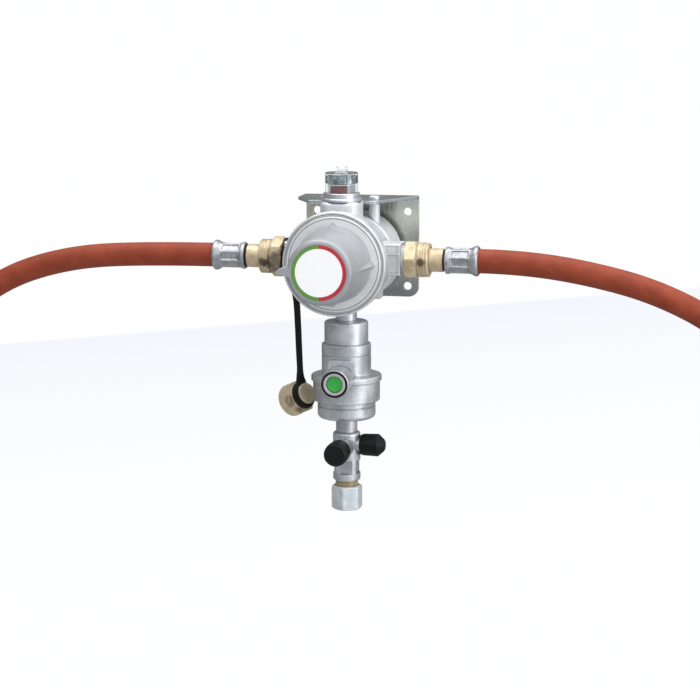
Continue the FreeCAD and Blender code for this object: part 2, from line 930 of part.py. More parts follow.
def knob_cone_r(standoff):
    """Radius of the knob's cone at a stand-off."""
    share = (standoff - knob_back) / knob_height
    return knob_base_r + (knob_front_r - knob_base_r) * share


def pointer():
    """Blunt arrow along the left side of the knob, flush with its face."""
    inner = rib_root_r
    corners = [
        (-inner, -pointer_root_half), (-pointer_tip_r, -pointer_tip_half), (-pointer_tip_r, pointer_tip_half),
        (-inner, pointer_root_half),
    ]
    return slab(corners, knob_back, knob_face, WALL, OUT)


def corner_rib(angle):
    """Pointed rib that stands out at the knob's base and runs out along its cone."""
    front = knob_back + corner_length
    ends = []
    for standoff, tip in ((knob_back, corner_tip_r), (front, knob_cone_r(front))):
        half = corner_root_half * (tip - rib_root_r) / (corner_tip_r - rib_root_r)
        points = [V(rib_root_r, -standoff, -half), V(tip, -standoff, 0), V(rib_root_r, -standoff, half)]
        ends.append(Part.makePolygon(points + points[:1]))
    rib = Part.makeLoft(ends, True, True)
    rib.rotate(WALL, V(0, 1, 0), -angle)
    return rib


def selector_knob():
    """Conical knob with a pointer at the left and a small corner on each other side."""
    cone = turned(
        [
            (0, knob_back), (knob_base_r, knob_back, knob_edge_round), (knob_front_r, knob_face, knob_round),
            (0, knob_face),
        ],
        WALL, OUT,
    )
    corners = [corner_rib(angle) for angle in (0, 90, 270)]
    knob = fused(cone, pointer(), *corners)
    floor = label_floor - knob_wall
    hollow = turned(
        [
            (0, knob_back - 1), (knob_base_r - knob_wall, knob_back - 1), (knob_base_r - knob_wall, knob_back),
            (knob_front_r - knob_wall, floor, 2.0), (0, floor),
        ],
        WALL, OUT,
    )
    socket_end = floor + knob_socket_into_floor
    socket = rod(spindle_r + socket_wall, hub_end + turning_gap, socket_end, WALL, OUT)
    knob = fused(bored(knob, hollow), socket)
    recess = rod(label_r + fit_gap, label_floor, knob_face + 1, WALL, OUT)
    shaft = rod(spindle_r, hub_end, floor, WALL, OUT)
    screw = rod(knob_screw_hole_r, floor - 1, knob_face + 1, WALL, OUT)
    head_seat = label_floor - knob_screw_head_t - fit_gap
    head = rod(knob_screw_head_r + fit_gap, head_seat, knob_face + 1, WALL, OUT)
    return bored(knob, recess, shaft, screw, head)


def knob_screw():
    """Countersunk screw that holds the knob on its spindle, under the label."""
    top = label_floor
    seat = top - knob_screw_head_t
    return turned(
        [
            (0, top - knob_screw_length), (knob_screw_r, top - knob_screw_length),
            (knob_screw_r, seat - fit_gap), (knob_screw_head_r, seat), (knob_screw_head_r, top), (0, top),
        ],
        WALL, OUT,
    )


def label_plate():
    """White disc on the knob's face."""
    floor = label_floor
    inner = label_r - label_ring_width
    return turned(
        [
            (0, floor), (label_r, floor), (label_r, floor + label_base_t), (inner, floor + label_base_t),
            (inner, floor + label_t), (0, floor + label_t),
        ],
        WALL, OUT,
    )


def label_half(side):
    """Half of the coloured ring round the label."""
    floor = label_floor
    ring = rod(label_r, floor + label_base_t, floor + label_t, WALL, OUT)
    ring = bored(ring, rod(label_r - label_ring_width, floor, floor + 2, WALL, OUT))
    keep = [0, side * (label_r + 1)]
    return ring.common(box((min(keep), -floor - 2, -label_r - 1), (max(keep), -floor, label_r + 1)))


def window_collar():
    """Ring that holds the clear cap on the top block."""
    low = top_block_z
    high = top_block_z + collar_h
    seat = low + collar_seat_h
    flange_top = seat + window_flange_t
    foot_r = collar_r + collar_foot
    foot_top = low + collar_foot_h
    return turned(
        [
            (window_r - window_wall, low), (foot_r, low), (foot_r, foot_top, 0.4),
            (collar_r, foot_top + collar_foot_slope), (collar_r, high, 0.9), (window_r + fit_gap, high),
            (window_r + fit_gap, flange_top), (window_flange_r + fit_gap, flange_top),
            (window_flange_r + fit_gap, seat), (window_r - window_wall, seat),
        ],
        WINDOW,
    )


def status_window():
    """Clear cap with a small lug on top."""
    low = top_block_z + collar_seat_h
    high = top_block_z + collar_h + window_above_collar
    cup = turned(
        [
            (window_r - window_wall, low), (window_flange_r, low), (window_flange_r, low + window_flange_t),
            (window_r, low + window_flange_t), (window_r, high, 0.9), (0, high), (0, high - window_wall),
            (window_r - window_wall, high - window_wall),
        ],
        WINDOW,
    )
    base_top = high + lug_base_h
    base = turned(
        [(0, high - 0.5), (lug_base_r, high - 0.5), (lug_base_r, base_top, 0.3), (0, base_top)], WINDOW,
    )
    ears = []
    front = -window_standoff - lug_depth_half
    back = -window_standoff + lug_depth_half
    for side in (-1, 1):
        ends = sorted((side * lug_half_width, side * (lug_half_width - lug_t)))
        ears.append(box((ends[0], front, high), (ends[1], back, high + lug_height)))
    bridge = box(
        (-lug_half_width, -window_standoff - lug_bridge_half, high),
        (lug_half_width, -window_standoff + lug_bridge_half, high + lug_bridge_h),
    )
    return fused(cup, base, *ears, bridge)


def status_indicator():
    """Drum that rises and falls inside the clear cap."""
    low = indicator_low
    skirt_r = window_r - window_wall - 1 - turning_gap
    return turned(
        [
            (0, low - indicator_skirt), (skirt_r, low - indicator_skirt), (skirt_r, low),
            (indicator_r, low, 0.4), (indicator_r, low + indicator_h, 0.8), (0, low + indicator_h),
        ],
        WINDOW,
    )


def union_nut():
    """Brass nut of the right inlet: hexagon towards the body, grooved collar towards the hose."""
    hex_end = nut_start + nut_hex_length
    end = hex_end + nut_collar_length
    nut = hexagon(nut_af, nut_start, hex_end, INLET, RIGHT, nut_turn)
    groove = hex_end + nut_groove_from_hex
    floor = groove + nut_groove_slope
    floor_end = floor + nut_groove_floor
    floor_r = nut_collar_r - nut_groove_depth
    collar = turned(
        [
            (0, hex_end - 0.5), (nut_collar_r, hex_end - 0.5), (nut_collar_r, groove), (floor_r, floor),
            (floor_r, floor_end), (nut_collar_r, floor_end + nut_groove_slope), (nut_collar_r, end, 1.2),
            (0, end),
        ],
        INLET, RIGHT,
    )
    seat = stem_seat + stem_collar_t
    bore = rod(spigot_r + turning_gap, nut_start - 1, seat + turning_gap, INLET, RIGHT)
    shaft = rod(stem_r + shaft_gap, nut_start, end + 1, INLET, RIGHT)
    return bored(fused(nut, collar), bore, shaft)


def hose_stem():
    """Brass stem of the right hose: sealing collar, shank and ribbed tail inside the ferrule."""
    seat = stem_seat
    collar_end = seat + stem_collar_t
    return turned(
        [
            (stem_bore_r, seat), (stem_collar_r, seat), (stem_collar_r, collar_end), (stem_r, collar_end),
            (stem_r, ferrule_start, 0.5), (stem_tail_r, ferrule_start), (stem_tail_r, stem_tail_end),
            (stem_bore_r, stem_tail_end),
        ],
        INLET, RIGHT,
    )


def ferrule(start, base, axis):
    """Crimped sleeve from start along the axis, flared towards the hose."""
    end = start + ferrule_length
    near_end = start + ferrule_near_length
    flare = end - ferrule_flare_length
    lip_r = hose_r + hose_lip_gap
    shell = turned(
        [
            (stem_tail_r, start), (ferrule_near_r, start, 0.8), (ferrule_near_r, near_end, 0.6),
            (ferrule_r, near_end + ferrule_near_slope, 0.6), (ferrule_r, flare - ferrule_flare_slope, 1.0),
            (ferrule_flare_r, flare, 0.8), (ferrule_flare_r, end, 0.6), (lip_r, end),
            (lip_r, end - flare_recess), (stem_tail_r, end - flare_recess),
        ],
        base, axis,
    )
    flats = []
    flat_r = ferrule_r - ferrule_flat_depth
    half = ferrule_r / 2
    for i in range(ferrule_flat_count):
        flat = box((flat_r, -half, start + ferrule_flat_start), (ferrule_r + 1, half, end - ferrule_flat_end))
        flat.rotate(WALL, UP, 360 / ferrule_flat_count * i)
        flats.append(placed(flat, base, axis))
    return bored(shell, *flats)


def route_points(route):
    """The right hose's route in space, from where it leaves its ferrule."""
    return [V(stem_tail_end + x, -inlet_standoff, z) for x, z in route]


def gas_hose(route):
    """Rubber hose with its bore, along the route."""
    points = route_points(route)
    path, radii = hose_path(points)
    solids = []
    for radius in (hose_r, hose_bore_r):
        section = Part.Wire([Part.makeCircle(radius, points[0], RIGHT)])
        solids.append(path.makePipeShell([section], True, False))
    hose = solids[0].cut(solids[1])
    expected = math.pi * (hose_r ** 2 - hose_bore_r ** 2) * path.Length
    ratio = round(hose.Volume / expected, 4)
    print("hose length", round(path.Length, 1), "radii", radii, "volume ratio", ratio)
    return hose


def hose_end(route):
    """Where the hose ends, and the point that its last fitting hangs from."""
    return route_points(route)[-1]


def end_ferrule(route):
    """Ferrule at the cylinder end: flare up, round the hose."""
    start = hose_end(route) + DOWN * (ferrule_length - flare_recess)
    return ferrule(0, start, UP)


def cylinder_stem(route):
    """Brass nose piece that seats in the cylinder's valve."""
    top = hose_end(route)
    shoulder = ferrule_length - flare_recess
    nose = shoulder + end_stem_length
    flange_r = end_thread_r - end_flange_gap
    flange_end = nose + end_flange_t
    tip = nose + end_nose_length
    return turned(
        [
            (stem_bore_r, 0), (stem_tail_r, 0), (stem_tail_r, shoulder), (stem_r, shoulder, 0.5),
            (stem_r, nose), (flange_r, nose), (flange_r, flange_end), (end_nose_r, flange_end),
            (end_nose_r, tip - end_nose_taper_length, 1.0), (end_nose_r - end_nose_taper, tip),
            (stem_bore_r, tip),
        ],
        top, DOWN,
    )


def cylinder_nut(route):
    """Brass union nut for the cylinder's valve."""
    top = hose_end(route)
    nose = ferrule_length - flare_recess + end_stem_length
    start = nose - turning_gap - end_nut_wall
    nut = hexagon(end_nut_af, start, start + end_nut_length, top, DOWN, 0, end_nut_chamfer)
    bore = rod(end_thread_r, nose - turning_gap, start + end_nut_length + 1, top, DOWN)
    shaft = rod(stem_r + shaft_gap, start - 1, nose, top, DOWN)
    return bored(nut, bore, shaft)


def cylinder_seal(route):
    """Rubber ring on the nose piece."""
    top = hose_end(route)
    low = ferrule_length - flare_recess + end_stem_length + end_flange_t
    ring = rod(end_thread_r - end_seal_gap, low, low + end_seal_t, top, DOWN)
    return bored(ring, rod(end_nose_r, low - 1, low + end_seal_t + 1, top, DOWN))


def sensor_upper_housing():
    """Die-cast upper part of the crash sensor, with the neck on top and the button's boss."""
    neck_top = outlet_boss_z + neck_depth - 1
    lip_z = shoulder_z - shoulder_lip
    groove_floor_r = sensor_tower_r - sensor_groove_depth
    groove_top_z = sensor_groove_z + sensor_groove_width
    housing = turned(
        [
            (0, ring_bottom_z), (ring_r, ring_bottom_z, 0.6), (ring_r, lip_z), (shoulder_r, lip_z + 0.5),
            (shoulder_r, shoulder_z, 1.2), (sensor_tower_r, shoulder_z + 0.6, 1.0),
            (sensor_tower_r, sensor_groove_z), (groove_floor_r, sensor_groove_z + sensor_groove_depth),
            (groove_floor_r, groove_top_z - sensor_groove_depth), (sensor_tower_r, groove_top_z),
            (sensor_tower_r, sensor_step_z, 0.7), (sensor_cap_r, sensor_step_z),
            (sensor_cap_r, sensor_top_z, 1.6), (sensor_neck_r, sensor_top_z), (sensor_neck_r, neck_top),
            (0, neck_top),
        ],
        OUTLET,
    )
    centre = OUTLET + V(0, 0, button_z)
    boss = turned(
        [(0, 0), (button_boss_r, 0), (button_boss_r, button_reach, 0.8), (0, button_reach)], centre, OUT,
    )
    half = button_fairing_half
    top = button_fairing_top
    fairing = slab(
        [(-half, 0), (half, 0), (half, top, 3), (-half, top, 3)],
        sensor_bore_r - 2, sensor_tower_r + button_fairing_past_tower, centre, OUT,
    )
    housing = fused(housing, boss, fairing)
    return bored(
        housing,
        rod(outlet_bore_r, sensor_ceiling_z - 1, neck_top + 1, OUTLET),
        rod(sensor_bore_r, ring_bottom_z - 1, sensor_ceiling_z, OUTLET),
        rod(base_spigot_r + fit_gap, ring_bottom_z - 1, ring_bottom_z + base_spigot_h + 0.5, OUTLET),
        rod(button_stem_r + shaft_gap, sensor_bore_r - 2, button_reach, centre, OUT),
        rod(button_r + button_side_gap, button_reach - button_recess, button_reach + 1, centre, OUT),
        rod(seal_r, button_reach - bezel_t, button_reach + 1, centre, OUT),
    )


def sensor_lower_housing():
    """Lower part of the crash sensor with the neck of the test valve."""
    neck_end = base_bottom_z - base_neck_length
    spigot_top = ring_bottom_z + base_spigot_h
    groove_floor_r = base_r - base_groove_depth
    groove_top_z = base_groove_z + sensor_groove_width
    return turned(
        [
            (outlet_bore_r, neck_end), (base_neck_r, neck_end), (base_neck_r, base_bottom_z, 0.8),
            (base_r, base_bottom_z, 3.0), (base_r, base_groove_z),
            (groove_floor_r, base_groove_z + sensor_groove_depth),
            (groove_floor_r, groove_top_z - sensor_groove_depth), (base_r, groove_top_z),
            (base_r, ring_bottom_z), (base_spigot_r, ring_bottom_z), (base_spigot_r, spigot_top),
            (outlet_bore_r, spigot_top),
        ],
        OUTLET,
    )


def seat_top():
    """Height of the ball's seat."""
    return ring_bottom_z + base_spigot_h + seat_t


def ball_seat():
    """Brass dish that carries the ball and lets gas pass through its rim."""
    top = seat_top()
    disc = turned(
        [
            (0, top - seat_t), (sensor_bore_r - fit_gap, top - seat_t), (sensor_bore_r - fit_gap, top),
            (dish_r, top), (dish_floor_r, top - dish_depth), (0, top - dish_depth),
        ],
        OUTLET,
    )
    holes = []
    for i in range(seat_hole_count):
        angle = 2 * math.pi * i / seat_hole_count
        spot = OUTLET + V(math.cos(angle), math.sin(angle), 0) * seat_hole_circle_r
        holes.append(rod(seat_hole_r, top - seat_t - 1, top + 1, spot))
    return bored(disc, *holes)


def ball_centre_z():
    """Height of the ball's centre, where it lies on the cone of its dish."""
    slope = math.atan2(dish_depth, dish_r - dish_floor_r)
    touch_r = ball_r * math.sin(slope)
    touch_z = seat_top() - dish_depth + (touch_r - dish_floor_r) * math.tan(slope)
    return touch_z + ball_r * math.cos(slope) + shaft_gap


def sensor_ball():
    """Steel ball that a crash throws off its seat."""
    return Part.makeSphere(ball_r, OUTLET + V(0, 0, ball_centre_z()))


def plunger_bottom():
    """Height of the plunger's underside, just above the ball."""
    return ball_centre_z() + ball_r + turning_gap


def plunger_top():
    """Height of the plunger's head, with room above it to rise."""
    return sensor_ceiling_z - plunger_travel - 2 * turning_gap


def sensor_plunger():
    """Valve that the ball releases: plate, stem and head."""
    low = plunger_bottom()
    top = plunger_top()
    return turned(
        [
            (0, low), (plunger_r, low, 0.5), (plunger_r, low + plunger_t), (plunger_stem_r, low + plunger_t),
            (plunger_stem_r, top - plunger_head_t), (plunger_head_r, top - plunger_head_t),
            (plunger_head_r, top, 0.4), (0, top),
        ],
        OUTLET,
    )


def sensor_spring():
    """Spring from the plunger's plate up to the end of its bore."""
    low = plunger_bottom() + plunger_t
    top = sensor_ceiling_z - shaft_gap
    spring = coil_spring(
        sensor_spring_r, sensor_spring_wire_r, sensor_spring_turns, low + shaft_gap, top,
    )
    return placed(spring, OUTLET, UP)


def reset_button():
    """Green button with its stem."""
    centre = OUTLET + V(0, 0, button_z)
    face = button_reach + button_proud
    back = button_reach - button_recess + button_travel + turning_gap
    return turned(
        [
            (0, button_tip), (button_stem_r, button_tip, 0.6), (button_stem_r, back),
            (button_r - fit_gap, back), (button_r - fit_gap, face, 0.5), (0, face),
        ],
        centre, OUT,
    )


def button_bezel():
    """Light ring round the button."""
    centre = OUTLET + V(0, 0, button_z)
    inner = button_r + button_side_gap
    back = button_reach - bezel_t
    face = button_reach + bezel_proud
    return turned(
        [(inner, back), (bezel_r, back), (bezel_r, face, 0.4), (inner, face, 0.3)],
        centre, OUT,
    )


def button_seal():
    """Black ring round the bezel."""
    centre = OUTLET + V(0, 0, button_z)
    inner = bezel_r + shaft_gap
    outer = seal_r - shaft_gap
    back = button_reach - bezel_t
    face = button_reach + seal_proud
    return turned(
        [(inner, back), (outer, back), (outer, face, 0.3), (inner, face)],
        centre, OUT,
    )


def valve_top():
    """Top of the test valve's body."""
    return base_bottom_z - base_neck_length


def valve_bottom():
    """Bottom of the test valve's body."""
    return valve_top() - valve_body_length


def port_centre():
    """Where the two test ports meet."""
    return OUTLET + V(0, 0, valve_top() - port_drop)


def test_valve_body():
    """Cast body with two test ports, one to the front and one to the right."""
    top = valve_top()
    bottom = valve_bottom()
    body = turned(
        [(0, bottom), (valve_body_r, bottom, 0.8), (valve_body_r, top, 2.0), (0, top)], OUTLET,
    )
    body = bored(body, *wrench_flats(bottom))
    boss = rod(port_r, 0, port_boss_reach, port_centre(), OUT)
    neck = rod(port_neck_r, 0, front_port_reach, port_centre(), OUT)
    side_port = rod(port_neck_r, 0, side_port_reach, port_centre(), RIGHT)
    body = fused(body, boss, neck, side_port)
    tools = [
        rod(outlet_bore_r, bottom - 1, top + 1, OUTLET),
        rod(outlet_thread_r, bottom - 1, bottom + thread_socket_depth, OUTLET),
        rod(port_bore_r, 0, front_port_reach + 1, port_centre(), OUT),
        rod(port_bore_r, 0, side_port_reach + 1, port_centre(), RIGHT),
    ]
    return bored(body, *tools)


def wrench_flats(bottom):
    """Cuts that leave four wrench flats round the test valve's body."""
    cuts = []
    reach = valve_body_r + 1
    for i in range(4):
        cut = box((wrench_flat, -reach, bottom + wrench_flat_low), (reach, reach, bottom + wrench_flat_high))
        cut.rotate(WALL, UP, 90 * i)
        cut.translate(OUTLET)
        cuts.append(cut)
    return cuts


def test_nipple(axis, start):
    """Brass hose nipple of one test port, from the end of its neck."""
    foot_end = start + nipple_foot_length
    waist = start + nipple_barb_ends[0] - nipple_barb_rise
    first, second = [start + reach for reach in nipple_barb_ends]
    end = start + nipple_length
    return turned(
        [
            (nipple_bore_r, start), (nipple_foot_r, start), (nipple_foot_r, foot_end, 0.3),
            (nipple_r, foot_end + 0.7), (nipple_r, waist), (nipple_barb_r, first),
            (nipple_r, second - nipple_barb_rise), (nipple_barb_r, second),
            (nipple_r - 0.2, end), (nipple_bore_r, end),
        ],
        port_centre(), axis,
    )


def test_cap(axis, port_reach):
    """Rubber cap of one test port."""
    start = port_reach + turning_gap
    end = start + cap_length
    bore = nipple_foot_r + turning_gap
    return turned(
        [
            (bore, start), (cap_mouth_r, start, 0.4), (cap_r, start + cap_mouth_length, 1.0),
            (cap_r, end - cap_chamfer, 1.0), (cap_r - cap_chamfer, end, 0.8), (0, end),
            (0, end - cap_end_t), (bore, end - cap_end_t),
        ],
        port_centre(), axis,
    )


def outlet_fitting():
    """Brass thread under the test valve, with the socket for the tube."""
    top = valve_bottom() + thread_socket_depth
    bottom = valve_bottom() - outlet_thread_length
    socket_end = bottom + tube_socket_depth
    threads = []
    for i in range(outlet_thread_turns):
        crest = bottom + outlet_thread_chamfer + outlet_thread_pitch * i
        root_r = outlet_thread_r - outlet_thread_depth
        threads += [(outlet_thread_r, crest), (root_r, crest + outlet_thread_pitch / 2)]
    threads_end = bottom + outlet_thread_chamfer + outlet_thread_pitch * outlet_thread_turns
    return turned(
        [
            (tube_r, bottom), (outlet_thread_r - outlet_thread_chamfer, bottom), *threads,
            (outlet_thread_r, threads_end), (outlet_thread_r, top), (outlet_bore_r, top),
            (outlet_bore_r, socket_end), (tube_r, socket_end),
        ],
        OUTLET,
    )


def outlet_nut():
    """Zinc nut that holds the outlet tube."""
    top = valve_bottom() - outlet_nut_gap
    bottom = top - outlet_nut_length
    nut = hexagon(outlet_nut_af, bottom, top, OUTLET, UP, outlet_nut_turn)
    thread_end = valve_bottom() - outlet_thread_length
    bore = rod(outlet_thread_r + turning_gap, thread_end - turning_gap, top + 1, OUTLET)
    recess = rod(ring_seat_r, thread_end - ring_seat_depth, top, OUTLET)
    tube = rod(tube_r, bottom - 1, top, OUTLET)
    return bored(nut, bore, recess, tube)


def cutting_ring():
    """Brass ring that bites on the tube inside the nut."""
    top = valve_bottom() - outlet_thread_length
    low = top - ring_seat_depth + turning_gap
    outer = ring_seat_r - turning_gap
    return turned(
        [
            (tube_r, low), (outer - ring_taper, low), (outer, low + ring_taper_length),
            (outer - ring_taper / 2, top), (tube_r, top),
        ],
        OUTLET,
    )


def retaining_strap():
    """Moulded rubber strap: a ring on the left inlet's neck, the strap, and a ring for the cap."""
    neck = V(-inlet_block_reach - fit_gap, -inlet_standoff, 0)
    ring = turned(
        [
            (spigot_r + turning_gap, 0), (strap_ring_r, 0, 0.4), (strap_ring_r, strap_ring_t, 0.4),
            (spigot_r + turning_gap, strap_ring_t),
        ],
        neck, V(-1, 0, 0),
    )
    tongue = box(
        (neck.x - strap_ring_t, neck.y + strap_tongue_back - strap_tongue_half, strap_tongue_z),
        (neck.x, neck.y + strap_tongue_back + strap_tongue_half, strap_tongue_top),
    )
    points = [V(x - inlet_block_reach, strap_tongue_back - inlet_standoff, z) for x, z in strap_top_route]
    points += [V(x, -standoff, z) for x, standoff, z in strap_low_route]
    path, radii = hose_path(points)
    half_w = strap_width / 2
    half_t = strap_t / 2
    corners = [
        (-half_t, -half_w, strap_corner), (half_t, -half_w, strap_corner), (half_t, half_w, strap_corner),
        (-half_t, half_w, strap_corner),
    ]
    section = placed(outline(corners, lambda a, b: V(a, b, 0)), points[0], (points[1] - points[0]).normalize())
    strap = path.makePipeShell([section], True, False)
    print("strap length", round(path.Length, 1), "radii", radii, "volume", round(strap.Volume, 1))
    cap_ring = turned(
        [
            (blind_neck_r + turning_gap, -cap_ring_t), (cap_ring_r, -cap_ring_t, 0.8), (cap_ring_r, 0, 0.8),
            (blind_neck_r + turning_gap, 0),
        ],
        cap_neck(), cap_axis(),
    )
    return fused(strap, ring, tongue, cap_ring)


def cap_axis():
    """Direction of the blind cap, from its open end to its disc."""
    return V(blind_tilt.x, -blind_tilt.y, blind_tilt.z).normalize()


def cap_neck():
    """Middle of the strap ring's outer face on the blind cap."""
    face = V(blind_spot_x, -blind_spot_standoff, blind_spot_z)
    return face - cap_axis() * (blind_disc_t + turning_gap)


def blind_cap():
    """Brass cap that closes an inlet when a hose is taken off."""
    low = -cap_ring_t - turning_gap
    flange = low - blind_flange_t
    hex_end = flange - blind_cap_length
    end = hex_end - blind_collar_length
    neck = cap_neck()
    axis = cap_axis()
    top = turned(
        [
            (0, flange - 0.5), (blind_flange_r - 0.4, flange - 0.5), (blind_flange_r, flange),
            (blind_flange_r, low, 0.5), (blind_neck_r, low), (blind_neck_r, turning_gap),
            (blind_disc_r, turning_gap),
            (blind_disc_r, turning_gap + blind_disc_t, 0.4), (0, turning_gap + blind_disc_t),
        ],
        neck, axis,
    )
    body = hexagon(blind_cap_af, hex_end, flange, neck, axis, blind_cap_turn, 1.2)
    collar = turned(
        [(0, end), (blind_collar_r, end, 1.2), (blind_collar_r, hex_end + 1), (0, hex_end + 1)], neck, axis,
    )
    bore = rod(blind_bore_r, end - 1, end + blind_bore_depth, neck, axis)
    return bored(fused(body, collar, top), bore)


def export(name, shape):
    """Write one piece."""
    shape.exportStep("parts/" + name + ".step")
    solids = shape.Solids
    print(name, "solids", len(solids), "valid", shape.isValid(), "volume", round(shape.Volume, 1))


def main():
    os.makedirs("parts", exist_ok=True)
    export("wall_bracket", wall_bracket())
    export("bracket_screws", bracket_screws())
    export("regulator_body", regulator_body())
    export("rear_cover", rear_cover())
    export("rear_cover_screws", rear_cover_screws())
    export("outlet_diaphragm", outlet_diaphragm())
    export("adjusting_screw", adjusting_screw())
    export("outlet_spring", outlet_spring())
    export("changeover_diaphragm", changeover_diaphragm())
    export("diaphragm_plate", diaphragm_plate())
    export("left_inlet_valve", inlet_valve(-1))
    export("right_inlet_valve", inlet_valve(1))
    export("cover_clamp_ring", cover_clamp_ring())
    export("front_cover", front_cover())
    export("selector_spindle", selector_spindle())
    export("changeover_spring", changeover_spring())
    export("selector_knob", selector_knob())
    export("knob_screw", knob_screw())
    export("label_plate", label_plate())
    export("label_green_half", label_half(-1))
    export("label_red_half", label_half(1))
    export("window_collar", window_collar())
    export("status_window", status_window())
    export("status_indicator", status_indicator())
    export("right_union_nut", union_nut())
    export("left_union_nut", mirrored(union_nut()))
    export("right_hose_stem", hose_stem())
    export("left_hose_stem", mirrored(hose_stem()))
    export("right_hose_ferrule", ferrule(ferrule_start, INLET, RIGHT))
    export("left_hose_ferrule", mirrored(ferrule(ferrule_start, INLET, RIGHT)))
    for side, route in (("right", right_route), ("left", left_route)):
        flip = mirrored if side == "left" else (lambda shape: shape)
        export(side + "_gas_hose", flip(gas_hose(route)))
        export(side + "_end_ferrule", flip(end_ferrule(route)))
        export(side + "_cylinder_stem", flip(cylinder_stem(route)))
        export(side + "_cylinder_nut", flip(cylinder_nut(route)))
        export(side + "_cylinder_seal", flip(cylinder_seal(route)))
    export("sensor_upper_housing", sensor_upper_housing())
    export("sensor_lower_housing", sensor_lower_housing())
    export("ball_seat", ball_seat())
    export("sensor_ball", sensor_ball())
    export("sensor_plunger", sensor_plunger())
    export("sensor_spring", sensor_spring())
    export("reset_button", reset_button())
    export("button_bezel", button_bezel())
    export("button_seal", button_seal())
    export("test_valve_body", test_valve_body())
    export("front_test_nipple", test_nipple(OUT, front_port_reach))
    export("side_test_nipple", test_nipple(RIGHT, side_port_reach))
    export("front_test_cap", test_cap(OUT, front_port_reach))
    export("side_test_cap", test_cap(RIGHT, side_port_reach))
    export("outlet_fitting", outlet_fitting())
    export("outlet_nut", outlet_nut())
    export("cutting_ring", cutting_ring())
    export("retaining_strap", retaining_strap())
    export("blind_cap", blind_cap())


main()
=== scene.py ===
# %% [markdown]
# # A changeover gas regulator with two hoses
#
# This notebook dresses a gas regulator for a camper. The solids come in as a fixed frame, in metres, and
# every cell below gives one of them its finish, or builds the finer piece that stands in its place.

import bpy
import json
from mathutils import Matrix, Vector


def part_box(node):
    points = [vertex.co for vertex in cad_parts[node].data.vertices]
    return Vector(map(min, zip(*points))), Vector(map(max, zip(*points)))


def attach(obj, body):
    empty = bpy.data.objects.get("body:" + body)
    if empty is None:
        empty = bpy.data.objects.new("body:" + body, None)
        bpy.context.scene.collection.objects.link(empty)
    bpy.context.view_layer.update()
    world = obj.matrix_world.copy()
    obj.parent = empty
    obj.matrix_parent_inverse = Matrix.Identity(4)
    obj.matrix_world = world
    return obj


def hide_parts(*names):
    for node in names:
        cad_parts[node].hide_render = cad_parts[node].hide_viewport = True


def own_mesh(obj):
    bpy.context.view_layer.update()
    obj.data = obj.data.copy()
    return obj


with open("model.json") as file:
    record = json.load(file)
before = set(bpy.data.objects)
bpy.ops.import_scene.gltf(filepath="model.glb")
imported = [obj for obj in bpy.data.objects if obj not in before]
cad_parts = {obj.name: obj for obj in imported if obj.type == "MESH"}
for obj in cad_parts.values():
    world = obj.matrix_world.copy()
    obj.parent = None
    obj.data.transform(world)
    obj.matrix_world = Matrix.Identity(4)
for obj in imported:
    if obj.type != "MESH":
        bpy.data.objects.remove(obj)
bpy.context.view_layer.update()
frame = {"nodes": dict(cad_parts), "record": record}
nodes = frame["nodes"]

# %% Modules and units
import json
import math

import bmesh
import bpy
from mathutils import Matrix, Vector

MM = 0.001
scene = bpy.context.scene
print("one unit is a metre, and MM is", MM)

# %% [markdown]
# ## The camera
#
# The picture looks at the regulator a little from its right and from above, with a long lens. Azimuth and
# elevation say where the camera stands, and the three axes of its frame are built from them. A camera could
# also be aimed with a constraint, but a plain matrix keeps every number in one place.

# %% Camera
AZIMUTH, ELEVATION, ROLL = math.radians(12.5), math.radians(10.0), math.radians(0.2)
TARGET = Vector((3.07, -57.0, -62.87)) * MM
DISTANCE = 1.35
LENS, SENSOR = 102.402, 36.0

flat = math.cos(ELEVATION)
back = Vector((math.sin(AZIMUTH) * flat, -math.cos(AZIMUTH) * flat, math.sin(ELEVATION)))
right = (-back).cross(Vector((0, 0, 1))).normalized()
up = right.cross(-back)
side = right * math.cos(ROLL) - up * math.sin(ROLL)
top = up * math.cos(ROLL) + right * math.sin(ROLL)

camera = bpy.data.objects.new("camera", bpy.data.cameras.new("camera"))
scene.collection.objects.link(camera)
camera.data.lens = LENS
camera.data.sensor_width = SENSOR
camera.data.clip_end = 50.0
axes = Matrix((side, top, back)).transposed().to_4x4()
camera.matrix_world = Matrix.Translation(TARGET + back * DISTANCE) @ axes
scene.camera = camera
print("camera at", [round(c, 3) for c in camera.location])

# %% [markdown]
# ## The two hoses
#
# A rubber gas hose is stiff, so it leaves its ferrule straight and then bends down in one long curve
# under its own weight. A mesh tube would need its rings turned by hand along every bend. A NURBS line
# through the air does that by itself: a few control points, listed in millimetres, give the whole
# sweep, and a round bevel gives it the hose's thickness. The thickness is set at the points, and the bevel
# only turns it into a tube, so that the curve's own box is as slim as the hose.

# %% Hose routes
HOSE_R = 8.15
HOSE_EXIT_X = 89.2
INLET_Y = -57.0
RIGHT_LENGTH, LEFT_LENGTH = 0.3776, 0.3685

RIGHT_ROUTE = [
    (0.0, 0.0), (27.0, 0.0), (72.0, -5.6), (120.0, -17.5), (164.6, -40.2),
    (197.4, -77.9), (214.6, -124.9), (219.8, -178.6), (219.8, -232.0),
]
LEFT_ROUTE = [
    (0.0, 0.0), (52.0, 0.0), (108.0, -4.4), (158.0, -20.6), (198.0, -52.9),
    (219.8, -99.0), (226.0, -152.6), (226.0, -206.0),
]
print("routes with", len(RIGHT_ROUTE), "and", len(LEFT_ROUTE), "points")


